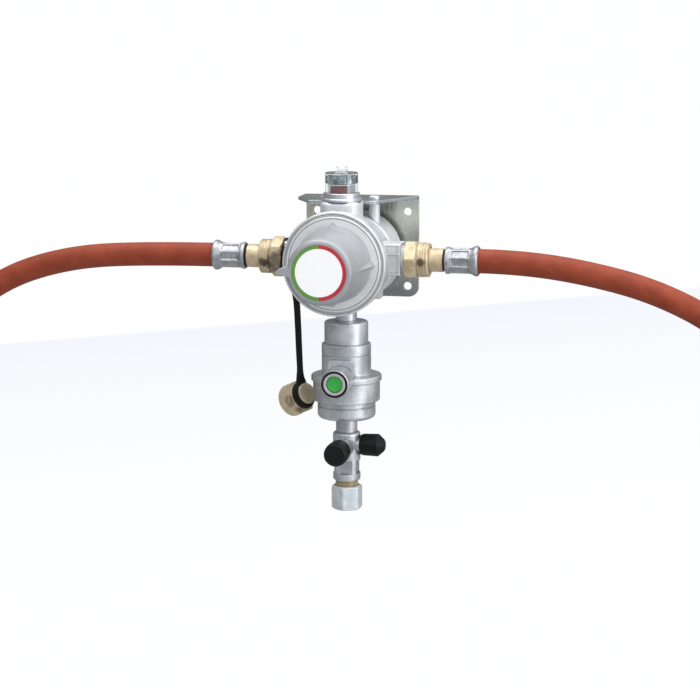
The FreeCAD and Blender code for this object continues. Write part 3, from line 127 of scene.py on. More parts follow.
# %% Hose curves
def hose_curve(name, route, side_sign):
    """One round hose along its control points."""
    data = bpy.data.curves.new(name, "CURVE")
    data.dimensions = "3D"
    data.bevel_depth = 1.0
    data.bevel_resolution = 12
    data.resolution_u = 24
    data.use_fill_caps = True
    line = data.splines.new("NURBS")
    line.points.add(len(route) - 1)
    for point, (x, z) in zip(line.points, route):
        point.co = (side_sign * (HOSE_EXIT_X + x) * MM, INLET_Y * MM, z * MM, 1.0)
        point.radius = HOSE_R * MM
    line.order_u = 3
    line.use_endpoint_u = True
    line.use_smooth = True
    hose = bpy.data.objects.new(name, data)
    scene.collection.objects.link(hose)
    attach(hose, "regulator")
    return hose


HOSES = {
    "right": (hose_curve("right_hose", RIGHT_ROUTE, 1), RIGHT_ROUTE, 1, RIGHT_LENGTH),
    "left": (hose_curve("left_hose", LEFT_ROUTE, -1), LEFT_ROUTE, -1, LEFT_LENGTH),
}
print("hoses", [hose[0].name for hose in HOSES.values()])

# %% [markdown]
# ## Finer pieces from a profile
#
# Ferrules, nuts and rings are all made the same way on the real object: a bar turns in a lathe, and a tool
# or a press then gives it flats. The helper below does that with a mesh. A profile is a loop of points, each
# a distance along the axis and a radius, and the loop is carried round the axis. Where a radius is a function
# of the angle instead of a number, the piece gets its flats. A modifier such as Screw makes only round ones.


# %% From corners to a smooth object
def join_loops(shape, loops):
    """Faces between each loop of corners and the next."""
    for loop, after in zip(loops, loops[1:]):
        for k in range(len(loop)):
            n = (k + 1) % len(loop)
            shape.faces.new((loop[k], loop[n], after[n], after[k]))


def close_ends(shape, loops):
    """One face over each end of a row of loops."""
    shape.faces.new(loops[0])
    shape.faces.new(reversed(loops[-1]))


def smooth_object(name, shape, sharp=32):
    """The shape as a smooth object whose edges stay sharp above an angle in degrees."""
    bmesh.ops.recalc_face_normals(shape, faces=shape.faces)
    data = bpy.data.meshes.new(name)
    shape.to_mesh(data)
    shape.free()
    data.shade_smooth()
    data.set_sharp_from_angle(angle=math.radians(sharp))
    piece = bpy.data.objects.new(name, data)
    scene.collection.objects.link(piece)
    return piece


print("corners are joined in loops, and edges over 32 degrees stay sharp")


# %% Round the corners of a profile
def softened(corners, steps=4):
    """Profile points with each corner (distance, radius, rounding) replaced by a small arc."""
    points = []
    count = len(corners)
    for i, corner in enumerate(corners):
        here = Vector(corner[:2])
        rounding = corner[2] if len(corner) > 2 else 0.0
        if rounding <= 0:
            points.append(tuple(here))
            continue
        before = Vector(corners[i - 1][:2]) - here
        after = Vector(corners[(i + 1) % count][:2]) - here
        start = here + before.normalized() * min(rounding, before.length / 2)
        end = here + after.normalized() * min(rounding, after.length / 2)
        for k in range(steps + 1):
            t = k / steps
            points.append(tuple(start * (1 - t) ** 2 + here * 2 * t * (1 - t) + end * t ** 2))
    return points


print("a square corner becomes", len(softened([(0, 0), (1, 0, 0.2), (1, 1)])) - 2, "points")


# %% Carry a profile round an axis
AROUND = 96
SAME_SPOT, NO_AREA = 1e-6, 1e-13


def turned_piece(name, profile, base, axis, around=AROUND):
    """Closed mesh from a loop of (distance, radius) in mm; a radius may be a function of the angle."""
    axis = Vector(axis).normalized()
    upright = abs(axis.z) > 0.9
    zero = Vector((0, -1, 0)) if upright else Vector((0, 0, 1))
    zero = (zero - axis * zero.dot(axis)).normalized()
    quarter = axis.cross(zero)
    shape = bmesh.new()
    rings = []
    for distance, radius in profile:
        ring = []
        for k in range(around):
            angle = 2 * math.pi * k / around
            reach = radius(angle) if callable(radius) else radius
            outward = zero * math.cos(angle) + quarter * math.sin(angle)
            spot = Vector(base) + axis * distance + outward * reach
            ring.append(shape.verts.new(spot * MM))
        rings.append(ring)
    join_loops(shape, rings + rings[:1])
    bmesh.ops.remove_doubles(shape, verts=shape.verts, dist=SAME_SPOT)
    loose = [face for face in shape.faces if face.calc_area() < NO_AREA]
    bmesh.ops.delete(shape, geom=loose, context="FACES")
    return smooth_object(name, shape)


def stands_for(piece, body, slot_name, *node_names):
    """The piece rides on the body and hides the solids that it replaces; slot_name is not used."""
    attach(piece, body)
    if node_names:
        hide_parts(*node_names)
    return piece


print("profiles are carried round in", AROUND, "steps")


# %% Flats and soft steps
def smooth_step(value):
    """0 below 0, 1 above 1, and a soft rise between."""
    value = min(1.0, max(0.0, value))
    return value * value * (3 - 2 * value)


def flat_radius(angle, sides, half_width, turn):
    """Radius of a regular polygon at an angle; a flat faces the angle turn."""
    sector = 2 * math.pi / sides
    off = (angle - turn + sector / 2) % sector - sector / 2
    return half_width / math.cos(off)


def softer_of(a, b, width):
    """The smaller of two radii, with a soft change of about the width."""
    share = max(0.0, width - abs(a - b)) / width
    return min(a, b) - share * share * width / 4


print("a 24 mm hexagon reaches", round(flat_radius(math.radians(30), 6, 12, 0), 2), "mm at its corners")

# %% [markdown]
# ## Crimped ferrules
#
# A ferrule starts as a plain zinc-plated sleeve. A press with eight jaws squeezes it onto the hose, so its
# middle becomes an octagon with a shallow pocket in each flat, while both rims stay round and flare out.
# Cutting pockets with a Boolean would leave hard edges, so the radius itself is a soft mix of the two shapes.

# %% Ferrules
FERRULE_START = 67.4
FERRULE_LENGTH = 23.8
STEM_GAP = 1.3
FERRULE_FLAT = 8.2
FERRULE_RIDGE = 8.75
CRIMP_TURNS = {"left": math.radians(-89), "right": math.radians(95)}
END_DEPTH, END_TURN = 2.0, 0.2
CRIMP_START, CRIMP_START_BLEND = 3.6, 1.6
CRIMP_END, CRIMP_END_BLEND = 19.2, 2.2
POCKET_START, POCKET_END, POCKET_BLEND = 5.4, 17.4, 0.8
POCKET_DEPTH = 0.8
POCKET_HALF, POCKET_SIDE = math.radians(18.0), math.radians(3.5)
RIM_PROFILE = [
    (STEM_GAP, 8.2), (1.5, 8.7), (1.9, 9.0), (2.6, 9.15), (3.5, 9.1), (4.4, 8.85), (5.3, 8.65), (17.2, 8.65),
    (18.4, 8.75), (19.4, 9.1), (20.3, 9.65), (21.2, 10.1), (21.9, 10.25), (22.6, 10.2), (23.2, 9.9),
    (23.6, 9.45), (FERRULE_LENGTH, 9.0),
]


def rim_radius(distance):
    """Round radius of the sleeve before it is crimped."""
    for (a, low), (b, high) in zip(RIM_PROFILE, RIM_PROFILE[1:]):
        if distance <= b:
            return low + (high - low) * smooth_step((distance - a) / (b - a))
    return RIM_PROFILE[-1][1]


def crimped(distance, turn):
    """Radius round the sleeve at a distance from the stem's end."""
    squeeze = smooth_step((distance - CRIMP_START) / CRIMP_START_BLEND)
    squeeze *= smooth_step((CRIMP_END - distance) / CRIMP_END_BLEND)
    pocket = smooth_step((distance - POCKET_START) / POCKET_BLEND)
    pocket *= smooth_step((POCKET_END - distance) / POCKET_BLEND)

    def radius(angle):
        flat = softer_of(flat_radius(angle, 8, FERRULE_FLAT, turn), FERRULE_RIDGE, 0.5)
        off = abs((angle - turn + math.pi / 8) % (math.pi / 4) - math.pi / 8)
        flat -= POCKET_DEPTH * pocket * smooth_step((POCKET_HALF - off) / POCKET_SIDE)
        return rim_radius(distance) * (1 - squeeze) + flat * squeeze

    return radius


def ferrule(name, node, base, axis, turn):
    """A crimped sleeve in place of the plain one; the profile runs from the stem to the hose."""
    places = [STEM_GAP, 1.4, 1.5, 1.7, 1.9, 2.3, 2.7, 3.2, 3.7, 4.2]
    places += [4.6 + 0.25 * k for k in range(57)]
    places += [18.8 + 0.2 * k for k in range(26)]
    outer = [(place, crimped(place, turn)) for place in places]
    inner = [(23.6, 8.45), (21.8, 8.3), (21.8, 4.0), (1.9, 4.0), (1.9, 7.3), (STEM_GAP, 7.6)]
    sleeve = turned_piece(name, outer + inner, base, axis, around=144)
    return stands_for(sleeve, "regulator", "ferrule_metal", node)


def ends_at(route, side_sign):
    """Where a hose ends."""
    return Vector((side_sign * (HOSE_EXIT_X + route[-1][0]), INLET_Y, route[-1][1]))


def end_base(route, side_sign):
    """Where the profile of the sleeve at a hose's far end begins."""
    return ends_at(route, side_sign) - Vector((0, 0, FERRULE_LENGTH - END_DEPTH))


ferrules = {}
for label, (hose, route, side_sign, hose_length) in HOSES.items():
    ferrules[label] = ferrule(
        label + "_crimped_ferrule", label + "_hose_ferrule",
        (side_sign * FERRULE_START, INLET_Y, 0.0), (side_sign, 0, 0), CRIMP_TURNS[label],
    )
    ferrules[label + "_end"] = ferrule(
        label + "_end_crimp", label + "_end_ferrule", end_base(route, side_sign), (0, 0, 1), END_TURN,
    )
print(len(ferrules), "ferrules of", len(ferrules["left"].data.polygons), "faces each")

# %% [markdown]
# ## The dark shoulder at each ferrule
#
# Between the brass stem and the sleeve a narrow dark line shows: it is the square end of the rubber hose,
# a little smaller than the stem. A ring of the same rubber, set back behind the brass, makes that line real.

# %% Hose shoulders
SHOULDER_PROFILE = softened([(0.0, 4.05), (0.0, 7.25, 0.2), (1.75, 7.25, 0.2), (1.75, 4.05)])
shoulders = {}
for label, (hose, route, side_sign, hose_length) in HOSES.items():
    spots = {
        label + "_hose_shoulder": ((side_sign * FERRULE_START, INLET_Y, 0.0), (side_sign, 0, 0)),
        label + "_end_shoulder": (end_base(route, side_sign), (0, 0, 1)),
    }
    for name, (spot, axis) in spots.items():
        ring = turned_piece(name, SHOULDER_PROFILE, spot, axis, around=64)
        shoulders[name] = stands_for(ring, "regulator", "black_rubber")
print(len(shoulders), "shoulders")

# %% [markdown]
# ## Union nuts
#
# Each nut starts as a hexagon bar. The lathe turns both ends of the hexagon to a cone, which leaves the
# curved chamfer lines, and cuts the round collar with its grooves. In the mesh the radius at every spot
# is the smaller of the hexagon and the cone, so those curves come by themselves.

# %% Nut profiles
NUT_START, HEX_END, NUT_END = 41.5, 50.1, 58.0
NUT_HALF = 12.0
SPIGOT_BORE, STEM_BORE = 10.0, 7.9
NUT_SEAT = 53.0
CONE_SLOPE = 1.73
CORNER_SHARE, CORNER_WEAR, CORNER_BLEND = 1.1547, 0.12, 0.25
NUT_FACE_R = 11.3
NUT_TURNS = {"left": math.radians(-84), "right": math.radians(54)}
COLLAR = [
    (50.35, 11.0), (51.0, 11.0), (51.3, 11.6, 0.15), (52.5, 11.6), (52.7, 11.3), (53.0, 11.3), (53.2, 11.6),
    (54.0, 11.6), (54.2, 11.3), (54.5, 11.3), (54.7, 11.6), (55.4, 11.6, 0.2), (55.75, 11.15), (56.3, 11.15),
    (56.6, 11.55, 0.15), (57.4, 11.55, 0.5), (NUT_END, 10.9, 0.2),
]
NUT_BORE = [
    (NUT_END, STEM_BORE, 0.15), (NUT_SEAT, STEM_BORE), (NUT_SEAT, SPIGOT_BORE), (NUT_START, SPIGOT_BORE, 0.3),
]


def hexagon_ring(distance, start, end, half_width, turn, first_r):
    """Radius round a hexagon bar whose ends are turned to a cone."""
    cone = first_r + CONE_SLOPE * min(distance - start, end - distance)

    def radius(angle):
        corner_r = half_width * CORNER_SHARE - CORNER_WEAR
        corner = softer_of(flat_radius(angle, 6, half_width, turn), corner_r, CORNER_BLEND)
        return softer_of(corner, cone, CORNER_WEAR) if cone < half_width * 1.2 else corner

    return radius


def hexagon_rows(start, end, half_width, turn, first_r, step=0.12):
    """Outer rows of a hexagon bar, dense where the cone cuts its corners."""
    reach = (half_width * 1.16 - first_r) / CONE_SLOPE
    dense = [step * k for k in range(int(reach / step) + 2)]
    places = [start + d for d in dense] + [(start + end) / 2] + [end - d for d in reversed(dense)]
    return [(s, hexagon_ring(s, start, end, half_width, turn, first_r)) for s in places]


def union_nut(name, side_sign, body, turn):
    """Hexagon, grooved collar and stepped bore."""
    rows = hexagon_rows(NUT_START, HEX_END, NUT_HALF, turn, NUT_FACE_R) + softened(COLLAR + NUT_BORE)
    nut = turned_piece(name, rows, (0, INLET_Y, 0), (side_sign, 0, 0), around=144)
    return stands_for(nut, body, "brass", body.replace("_nut", "_union_nut"))


union_nuts = {
    "left": union_nut("left_inlet_nut", -1, "left_nut", NUT_TURNS["left"]),
    "right": union_nut("right_inlet_nut", 1, "right_nut", NUT_TURNS["right"]),
}
print("union nuts with", len(union_nuts["left"].data.polygons), "faces each")

# %% [markdown]
# ## The outlet nut
#
# The nut at the bottom is a longer hexagon with the same turned ends, in zinc plate instead of brass.

# %% Outlet nut
OUTLET_Y = -54.5
OUTLET_AXIS = ((0, OUTLET_Y, 0), (0, 0, 1))
OUTLET_NUT_LOW, OUTLET_NUT_HIGH = -173.7, -157.2
OUTLET_NUT_HALF, OUTLET_NUT_FACE_R, OUTLET_NUT_TURN = 9.5, 8.9, math.radians(26)
THREAD_END = -164.1
TUBE_R = 5.15

outlet_rows = hexagon_rows(
    OUTLET_NUT_LOW, OUTLET_NUT_HIGH, OUTLET_NUT_HALF, OUTLET_NUT_TURN, OUTLET_NUT_FACE_R,
)
outlet_bore = [
    (OUTLET_NUT_HIGH, 8.2), (THREAD_END - 0.3, 8.2), (THREAD_END - 0.3, 7.0), (THREAD_END - 3.0, 7.0),
    (THREAD_END - 3.0, TUBE_R), (OUTLET_NUT_LOW, TUBE_R),
]
tube_nut = turned_piece("tube_nut", outlet_rows + outlet_bore, *OUTLET_AXIS, around=120)
stands_for(tube_nut, "tube_nut", "zinc_nut", "outlet_nut")
print("outlet nut", round(OUTLET_NUT_HIGH - OUTLET_NUT_LOW, 1), "mm long")

# %% [markdown]
# ## The status window
#
# Under the clear cap a drum rises and falls to show which cylinder supplies the gas. It carries printed
# fields of red, white and grey, and a dark sleeve in the top of the cap hides whichever field is up. The
# fields are thin shells round the drum: paint could be a material mask, but a shell keeps a crisp edge.

# %% Drum and fields
WINDOW_Y = -67.0
WINDOW_AXIS = ((0, WINDOW_Y, 0), (0, 0, 1))
DRUM_R = 9.1
DRUM_LOW, DRUM_HIGH = 44.5, 53.0
DRUM_FOOT, DRUM_FOOT_R = 38.5, 8.2
FIELD_IN, FIELD_OUT = DRUM_R + 0.01, DRUM_R + 0.15

drum = turned_piece(
    "status_drum",
    softened([
        (DRUM_FOOT, 0.0), (DRUM_FOOT, DRUM_FOOT_R, 0.2), (DRUM_LOW, DRUM_FOOT_R),
        (DRUM_LOW + 0.3, DRUM_R, 0.2), (DRUM_HIGH, DRUM_R, 0.6), (DRUM_HIGH, 0.0),
    ]),
    *WINDOW_AXIS,
)
stands_for(drum, "indicator", "indicator_dark", "status_indicator")


def curved_field(name, low, high, from_angle, to_angle):
    """Thin shell on the drum between two heights and two angles from the front, towards +X."""
    shape = bmesh.new()
    count = max(6, int((to_angle - from_angle) / 3))
    columns = []
    for k in range(count + 1):
        angle = math.radians(from_angle + (to_angle - from_angle) * k / count)
        corner = Vector((math.sin(angle), -math.cos(angle), 0))
        column = []
        for reach, height in ((FIELD_OUT, low), (FIELD_OUT, high), (FIELD_IN, high), (FIELD_IN, low)):
            column.append(shape.verts.new((Vector((0, WINDOW_Y, height)) + corner * reach) * MM))
        columns.append(column)
    join_loops(shape, columns)
    close_ends(shape, columns)
    return stands_for(smooth_object(name, shape), "indicator", "indicator_dark")


FIELDS = {
    "red_field": curved_field("red_field", 45.2, 50.0, -33, 35),
    "white_field": curved_field("white_field", 49.0, 50.0, -80, -34),
    "white_bar": curved_field("white_bar", 45.2, 48.99, -52, -38),
    "white_line": curved_field("white_line", 50.15, 50.9, -100, 100),
    "grey_field": curved_field("grey_field", 45.2, 50.0, 37, 170),
}
print(len(FIELDS), "fields on the drum")

# %% Dark sleeve moulded into the top of the cap
SLEEVE_IN, SLEEVE_OUT = 9.5, 9.7
SLEEVE_LOW, SLEEVE_HIGH = 51.3, 56.6
RIBS, RIB_HEIGHT = 24, 0.08


def ribbed(angle):
    """Outer radius of the sleeve, with low ribs all round."""
    return SLEEVE_OUT - RIB_HEIGHT * (1 + math.cos(RIBS * angle)) / 2


sleeve = turned_piece(
    "window_sleeve",
    [(SLEEVE_LOW, SLEEVE_IN), (SLEEVE_LOW, ribbed), (SLEEVE_HIGH, ribbed), (SLEEVE_HIGH, SLEEVE_IN)],
    *WINDOW_AXIS, around=RIBS * 10,
)
stands_for(sleeve, "regulator", "indicator_dark")
print("sleeve clears the drum by", round(SLEEVE_IN - FIELD_OUT, 2), "mm")

# %% [markdown]
# ## The reset button
#
# A moulded button is never a flat disc: its face is dished so that a finger finds the middle, and its rim
# is rounded. The profile has that dish in it, and the black rubber ring round it laps a little over the
# metal. The grey bezel stays as the solid is.

# %% Reset button
BUTTON_Z = -80.4
BUTTON_AXIS = ((0, OUTLET_Y, BUTTON_Z), (0, -1, 0))
BUTTON_R, ROD_R = 5.3, 3.0
button = turned_piece(
    "green_button",
    softened([
        (11.5, 0.0), (11.5, ROD_R, 0.4), (31.8, ROD_R), (31.8, BUTTON_R), (36.9, BUTTON_R, 0.7),
        (37.3, 4.7, 0.3), (37.15, 3.4, 0.6), (36.95, 1.8, 0.6), (36.9, 0.0),
    ]),
    *BUTTON_AXIS, around=72,
)
stands_for(button, "button", "button_green", "reset_button")

bezel_low, bezel_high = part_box("button_bezel")
BEZEL_R = (bezel_high[0] - bezel_low[0]) / 2 / MM
GASKET_R, GASKET_FACE = 8.95, 37.45
gasket = turned_piece(
    "button_gasket",
    softened([
        (35.9, BEZEL_R + 0.05), (35.9, 8.2), (37.05, 8.2), (37.05, GASKET_R, 0.1),
        (GASKET_FACE, GASKET_R, 0.3), (GASKET_FACE, BEZEL_R + 0.05, 0.2),
    ]),
    *BUTTON_AXIS,
)
stands_for(gasket, "regulator", "black_rubber", "button_seal")
print("button face", 2 * BUTTON_R, "mm wide")

# %% [markdown]
# ## The plunger spring
#
# Inside the sensor a spring pushes the plunger down towards the ball. It is wire wound on a mandrel, with
# its end turns pressed flat so that it stands square. When the button lifts the plunger the spring shortens,
# which a rigid mesh can't do; here the wire is built at one length, as a mesh of its own.

# %% Plunger spring
SPRING_R, WIRE_R = 7.6, 0.5
SPRING_TURNS, FLAT_TURNS = 5.5, 0.9


def coil_spring(name, low, high, steps=40, around=12):
    """Wire in a helix between two heights, with its first and last turns nearly flat."""
    shape = bmesh.new()
    rise = high - low - 2 * WIRE_R
    count = int(SPRING_TURNS * steps)
    loops = []
    for k in range(count + 1):
        turn = k / steps
        share = (turn - FLAT_TURNS / 2) / (SPRING_TURNS - FLAT_TURNS)
        height = low + WIRE_R + rise * smooth_step(share)
        angle = 2 * math.pi * turn
        outward = Vector((math.cos(angle), math.sin(angle), 0))
        middle = Vector((0, OUTLET_Y, height)) + outward * SPRING_R
        loop = []
        for i in range(around):
            bend = 2 * math.pi * i / around
            spot = middle + (outward * math.cos(bend) + Vector((0, 0, 1)) * math.sin(bend)) * WIRE_R
            loop.append(shape.verts.new(spot * MM))
        loops.append(loop)
    join_loops(shape, loops)
    close_ends(shape, loops)
    return smooth_object(name, shape, sharp=40)


spring_low, spring_high = (corner[2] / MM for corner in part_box("sensor_spring"))
plunger_spring = coil_spring("plunger_spring", spring_low, spring_high)
stands_for(plunger_spring, "regulator", "spring_steel", "sensor_spring")
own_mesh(plunger_spring)
print("spring", round(spring_high - spring_low, 1), "mm long")

# %% [markdown]
# ## The outlet thread
#
# Under the test valve a brass thread shows above the nut. Its crests are a zigzag in the profile. A true
# helix would need one long spiral face for a thread that shows two turns, so rings are enough here. Over
# the thread, a thin ring of the valve's own casting closes the slit round the socket that it screws into.

# %% Outlet thread
VALVE_BOTTOM = -153.1
THREAD_R, THREAD_DEPTH, THREAD_PITCH = 7.9, 0.8, 1.5
TURNS = 6
THREAD_TOP = -153.8
FITTING_TOP = VALVE_BOTTOM + 4.4
TUBE_STOP, GAS_WAY_R = -155.1, 4.0
WALL_LOW, WALL_HIGH = VALVE_BOTTOM + 4.5, VALVE_BOTTOM + 6.4
WALL_IN, WALL_OUT = 7.0, 7.57

threads = []
for turn in range(TURNS):
    crest = THREAD_END + 1.4 + THREAD_PITCH * turn
    root = (crest + THREAD_PITCH / 2, THREAD_R - THREAD_DEPTH)
    threads += [(crest - 0.1, THREAD_R), (crest + 0.1, THREAD_R), root]
outlet_thread = turned_piece(
    "outlet_thread",
    [
        (THREAD_END, TUBE_R), (THREAD_END, 6.5), *threads, (THREAD_TOP, THREAD_R), (FITTING_TOP, THREAD_R),
        (FITTING_TOP, GAS_WAY_R), (TUBE_STOP, GAS_WAY_R), (TUBE_STOP, TUBE_R),
    ],
    *OUTLET_AXIS, around=72,
)
stands_for(outlet_thread, "regulator", "brass", "outlet_fitting")

socket_wall = turned_piece(
    "valve_socket_wall",
    [(WALL_LOW, WALL_IN), (WALL_LOW, WALL_OUT), (WALL_HIGH, WALL_OUT), (WALL_HIGH, WALL_IN)],
    *OUTLET_AXIS, around=72,
)
stands_for(socket_wall, "regulator", "cast_metal")
print("outlet thread with", TURNS, "turns")

# %% [markdown]
# ## Rubber caps of the test ports
#
# Each test port wears a moulded rubber cap, as a brake bleed screw does. Both swell a little towards the
# end. The side cap then closes in a pointed nose, and the front cap in a flat one. Each is a profile turned
# round its port.

# %% Test port caps
PORT_Z = -128.6
CAP_PROFILES = {
    "front": softened([
        (0.0, 4.8), (0.0, 7.1, 0.5), (2.0, 7.8, 1.0), (12.0, 8.15, 1.5), (15.6, 7.75, 0.7), (16.9, 6.5, 0.5),
        (16.5, 5.9, 0.4), (16.4, 0.0), (14.3, 0.0), (14.3, 4.8),
    ]),
    "side": softened([
        (0.0, 4.8), (0.0, 6.7, 0.5), (2.0, 7.45, 1.0), (12.2, 7.75, 0.3), (15.8, 4.6, 0.3),
        (16.9, 3.2, 0.3), (16.7, 2.6, 0.3), (16.6, 0.0), (14.3, 0.0), (14.3, 4.8),
    ]),
}
CAP_SEATS = {
    "front": ((0, OUTLET_Y - 20.9, PORT_Z), (0, -1, 0)),
    "side": ((9.9, OUTLET_Y, PORT_Z), (1, 0, 0)),
}
port_caps = {
    label: turned_piece(label + "_rubber_cap", CAP_PROFILES[label], *CAP_SEATS[label], around=72)
    for label in CAP_SEATS
}
for label, cap in port_caps.items():
    stands_for(cap, label + "_cap", "black_rubber", label + "_test_cap")
print("caps", [cap.name for cap in port_caps.values()])

# %% [markdown]
# ## The strap
#
# The strap keeps the blind cap with the regulator. It is one rubber moulding: a ring on the inlet's neck,
# a flat band, and a ring that the cap's neck snaps into. The band twists as it comes down and fans out
# where it meets the lower ring. A curve with a bevel can't fan out in one direction only, so the band is
# a loft: a small rounded section is carried along the route, and its width, thickness and twist are blended.

# %% Strap route and lower ring
CAP_AXIS = Vector((0.781, -0.464, 0.419)).normalized()
CAP_FACE = Vector((-28.2, -50.0, -95.1))
NECK_DEPTH, RING_HALF = 2.1, 1.6
CAP_NECK = CAP_FACE - CAP_AXIS * NECK_DEPTH
RING_MIDDLE = CAP_NECK - CAP_AXIS * RING_HALF
STRAP_ROUTE = [
    Vector(point) for point in (
        (-39.4, -51.5, -14.0), (-37.4, -51.5, -21.5), (-35.4, -51.6, -31.0), (-34.6, -51.0, -48.0),
        (-34.3, -49.6, -66.0), (-34.1, -48.4, -78.0), (-34.1, -47.6, -85.0), (-33.6, -47.3, -89.0),
    )
]
STRAP_SIZES = [(4.4, 2.4), (4.4, 2.4), (4.4, 2.4), (4.3, 2.4), (4.3, 2.4), (4.3, 2.5), (5.6, 2.7), (9.0, 2.9)]
STRAP_TWIST = [0.0, 0.0, 0.0, 0.0, 0.05, 0.2, 0.65, 1.0]
SQUARENESS = 0.45
print("strap route of", len(STRAP_ROUTE), "points")


# %% Strap band
def along(values, share):
    """Value a share of the way through a list, on a smooth line through its entries."""
    spot = share * (len(values) - 1)
    i = min(int(spot), len(values) - 2)
    t = spot - i
    a, b, c, d = (Vector(values[min(max(k, 0), len(values) - 1)]) for k in (i - 1, i, i + 1, i + 2))
    return (b * 2 + (c - a) * t + (a * 2 - b * 5 + c * 4 - d) * t ** 2 + (b * 3 - a - c * 3 + d) * t ** 3) / 2


def strap_band(name, rows=72, around=20):
    """Rounded flat band along the strap's route."""
    shape = bmesh.new()
    last_wide = CAP_AXIS.cross(STRAP_ROUTE[-1] - RING_MIDDLE).normalized() * -1
    loops = []
    for row in range(rows + 1):
        share = row / rows
        spot = along(STRAP_ROUTE, share)
        ahead = along(STRAP_ROUTE, min(1.0, share + 0.01)) - along(STRAP_ROUTE, max(0.0, share - 0.01))
        ahead = ahead.normalized()
        width, thickness = along(STRAP_SIZES, share)
        twist = along([(t, 0) for t in STRAP_TWIST], share)[0]
        wide = Vector((1, 0, 0)).lerp(last_wide, min(1.0, max(0.0, twist)))
        wide = (wide - ahead * wide.dot(ahead)).normalized()
        deep = ahead.cross(wide)
        loop = []
        for k in range(around):
            angle = 2 * math.pi * k / around
            cos, sin = math.cos(angle), math.sin(angle)
            u = math.copysign(abs(cos) ** SQUARENESS, cos) * width / 2
            v = math.copysign(abs(sin) ** SQUARENESS, sin) * thickness / 2
            loop.append(shape.verts.new((spot + wide * u + deep * v) * MM))
        loops.append(loop)
    join_loops(shape, loops)
    close_ends(shape, loops)
    return smooth_object(name, shape, sharp=40)


band = stands_for(strap_band("strap_band"), "strap", "black_rubber", "retaining_strap")
print("strap band with", len(band.data.polygons), "faces")

# %% Strap rings
NECK_X = -39.6
NECK_RING = softened([(0, 10.0), (0, 12.8, 0.4), (1.5, 12.8, 0.4), (1.5, 10.0)])
CAP_RING = softened([
    (-3.2, 7.3), (-3.2, 9.5, 0.5), (-1.4, 9.6, 0.4), (-1.2, 8.9, 0.3), (0.0, 8.7, 0.5), (0.0, 7.3),
])
strap_rings = [
    turned_piece("strap_neck_ring", NECK_RING, (NECK_X, INLET_Y, 0), (-1, 0, 0)),
    turned_piece("strap_cap_ring", CAP_RING, CAP_NECK, CAP_AXIS),
]
for ring in strap_rings:
    stands_for(ring, "strap", "black_rubber")
print("strap with", len(strap_rings), "rings")

# %% [markdown]
# ## Floor and light
#
# The picture was taken in a white room: a large soft box on the right, one overhead, bright walls on the
# right, above and high in front, and a dimmer room behind and on the left. Bare metal shows all of that as
# light edges and darker fronts, so the room matters more than the metal's own colour. A ready-made lighting
# picture would do it too, but two lamps and a few walls can be explained line by line.

# %% Floor and backdrop
FLOOR_Z = -0.300
WALL_R, WALL_TOP, WALL_SIDES = 6.0, 5.0, 48
scene.view_settings.view_transform = "Standard"


def stage_surface(name, corners, faces):
    """A plain surface behind or under the regulator, seen only by the camera and through clear plastic."""
    data = bpy.data.meshes.new(name)
    data.from_pydata(corners, [], faces)
    surface = bpy.data.objects.new(name, data)
    scene.collection.objects.link(surface)
    surface.visible_glossy = surface.visible_diffuse = surface.visible_shadow = False
    return surface


def ring_corners(height):
    """Corners of the backdrop's ring at a height."""
    turns = [2 * math.pi * k / WALL_SIDES for k in range(WALL_SIDES)]
    return [(math.cos(turn) * WALL_R, math.sin(turn) * WALL_R, height) for turn in turns]


floor_corners = ring_corners(FLOOR_Z)
wall_faces = []
for k in range(WALL_SIDES):
    n = (k + 1) % WALL_SIDES
    wall_faces.append((k, n, n + WALL_SIDES, k + WALL_SIDES))
floor = stage_surface("floor", floor_corners, [tuple(range(WALL_SIDES))])
wall = stage_surface("backdrop", floor_corners + ring_corners(WALL_TOP), wall_faces)
print("floor at", FLOOR_Z, "m")

# %% [markdown]
# ### Node trees in short calls
#
# The room's glow and every finish are trees of small nodes: sums, products, ranges and directions. Each node
# takes three or four lines to make and wire, so the class below makes one in a single short call. The room
# then reads as what it is: a base brightness, and a soft patch of light for each wall.


# %% A node tree in short calls
class Nodes:
    """A node tree, with a short call for each kind of node that is used often."""

    def __init__(self, tree):
        self.tree = tree

    def node(self, kind, wires=None, **settings):
        """A node with its settings, and its inputs as numbers or as wires from other nodes."""
        made = self.tree.nodes.new(kind)
        for key, value in settings.items():
            setattr(made, key, value)
        for key, value in (wires or {}).items():
            if isinstance(value, bpy.types.NodeSocket):
                self.tree.links.new(value, made.inputs[key])
            else:
                made.inputs[key].default_value = value
        return made

    def maths(self, operation, a, b=0.0):
        """Two numbers joined by an operation."""
        return self.node("ShaderNodeMath", {0: a, 1: b}, operation=operation).outputs["Value"]

    def plus(self, a, b):
        """The sum of two numbers."""
        return self.maths("ADD", a, b)

    def times(self, a, b):
        """The product of two numbers."""
        return self.maths("MULTIPLY", a, b)

    def vector(self, operation, a, b=(0, 0, 0), out="Vector"):
        """Two directions joined by an operation; out says whether a direction or a number comes out."""
        return self.node("ShaderNodeVectorMath", {0: a, 1: b}, operation=operation).outputs[out]

    def ranged(self, value, low, high, start=0.35, end=0.65, rise="LINEAR"):
        """The value spread between low and high."""
        wires = {"Value": value, "From Min": start, "From Max": end, "To Min": low, "To Max": high}
        return self.node("ShaderNodeMapRange", wires, interpolation_type=rise).outputs["Result"]


print(len([name for name in vars(Nodes) if name[0] != "_"]), "short calls for nodes")

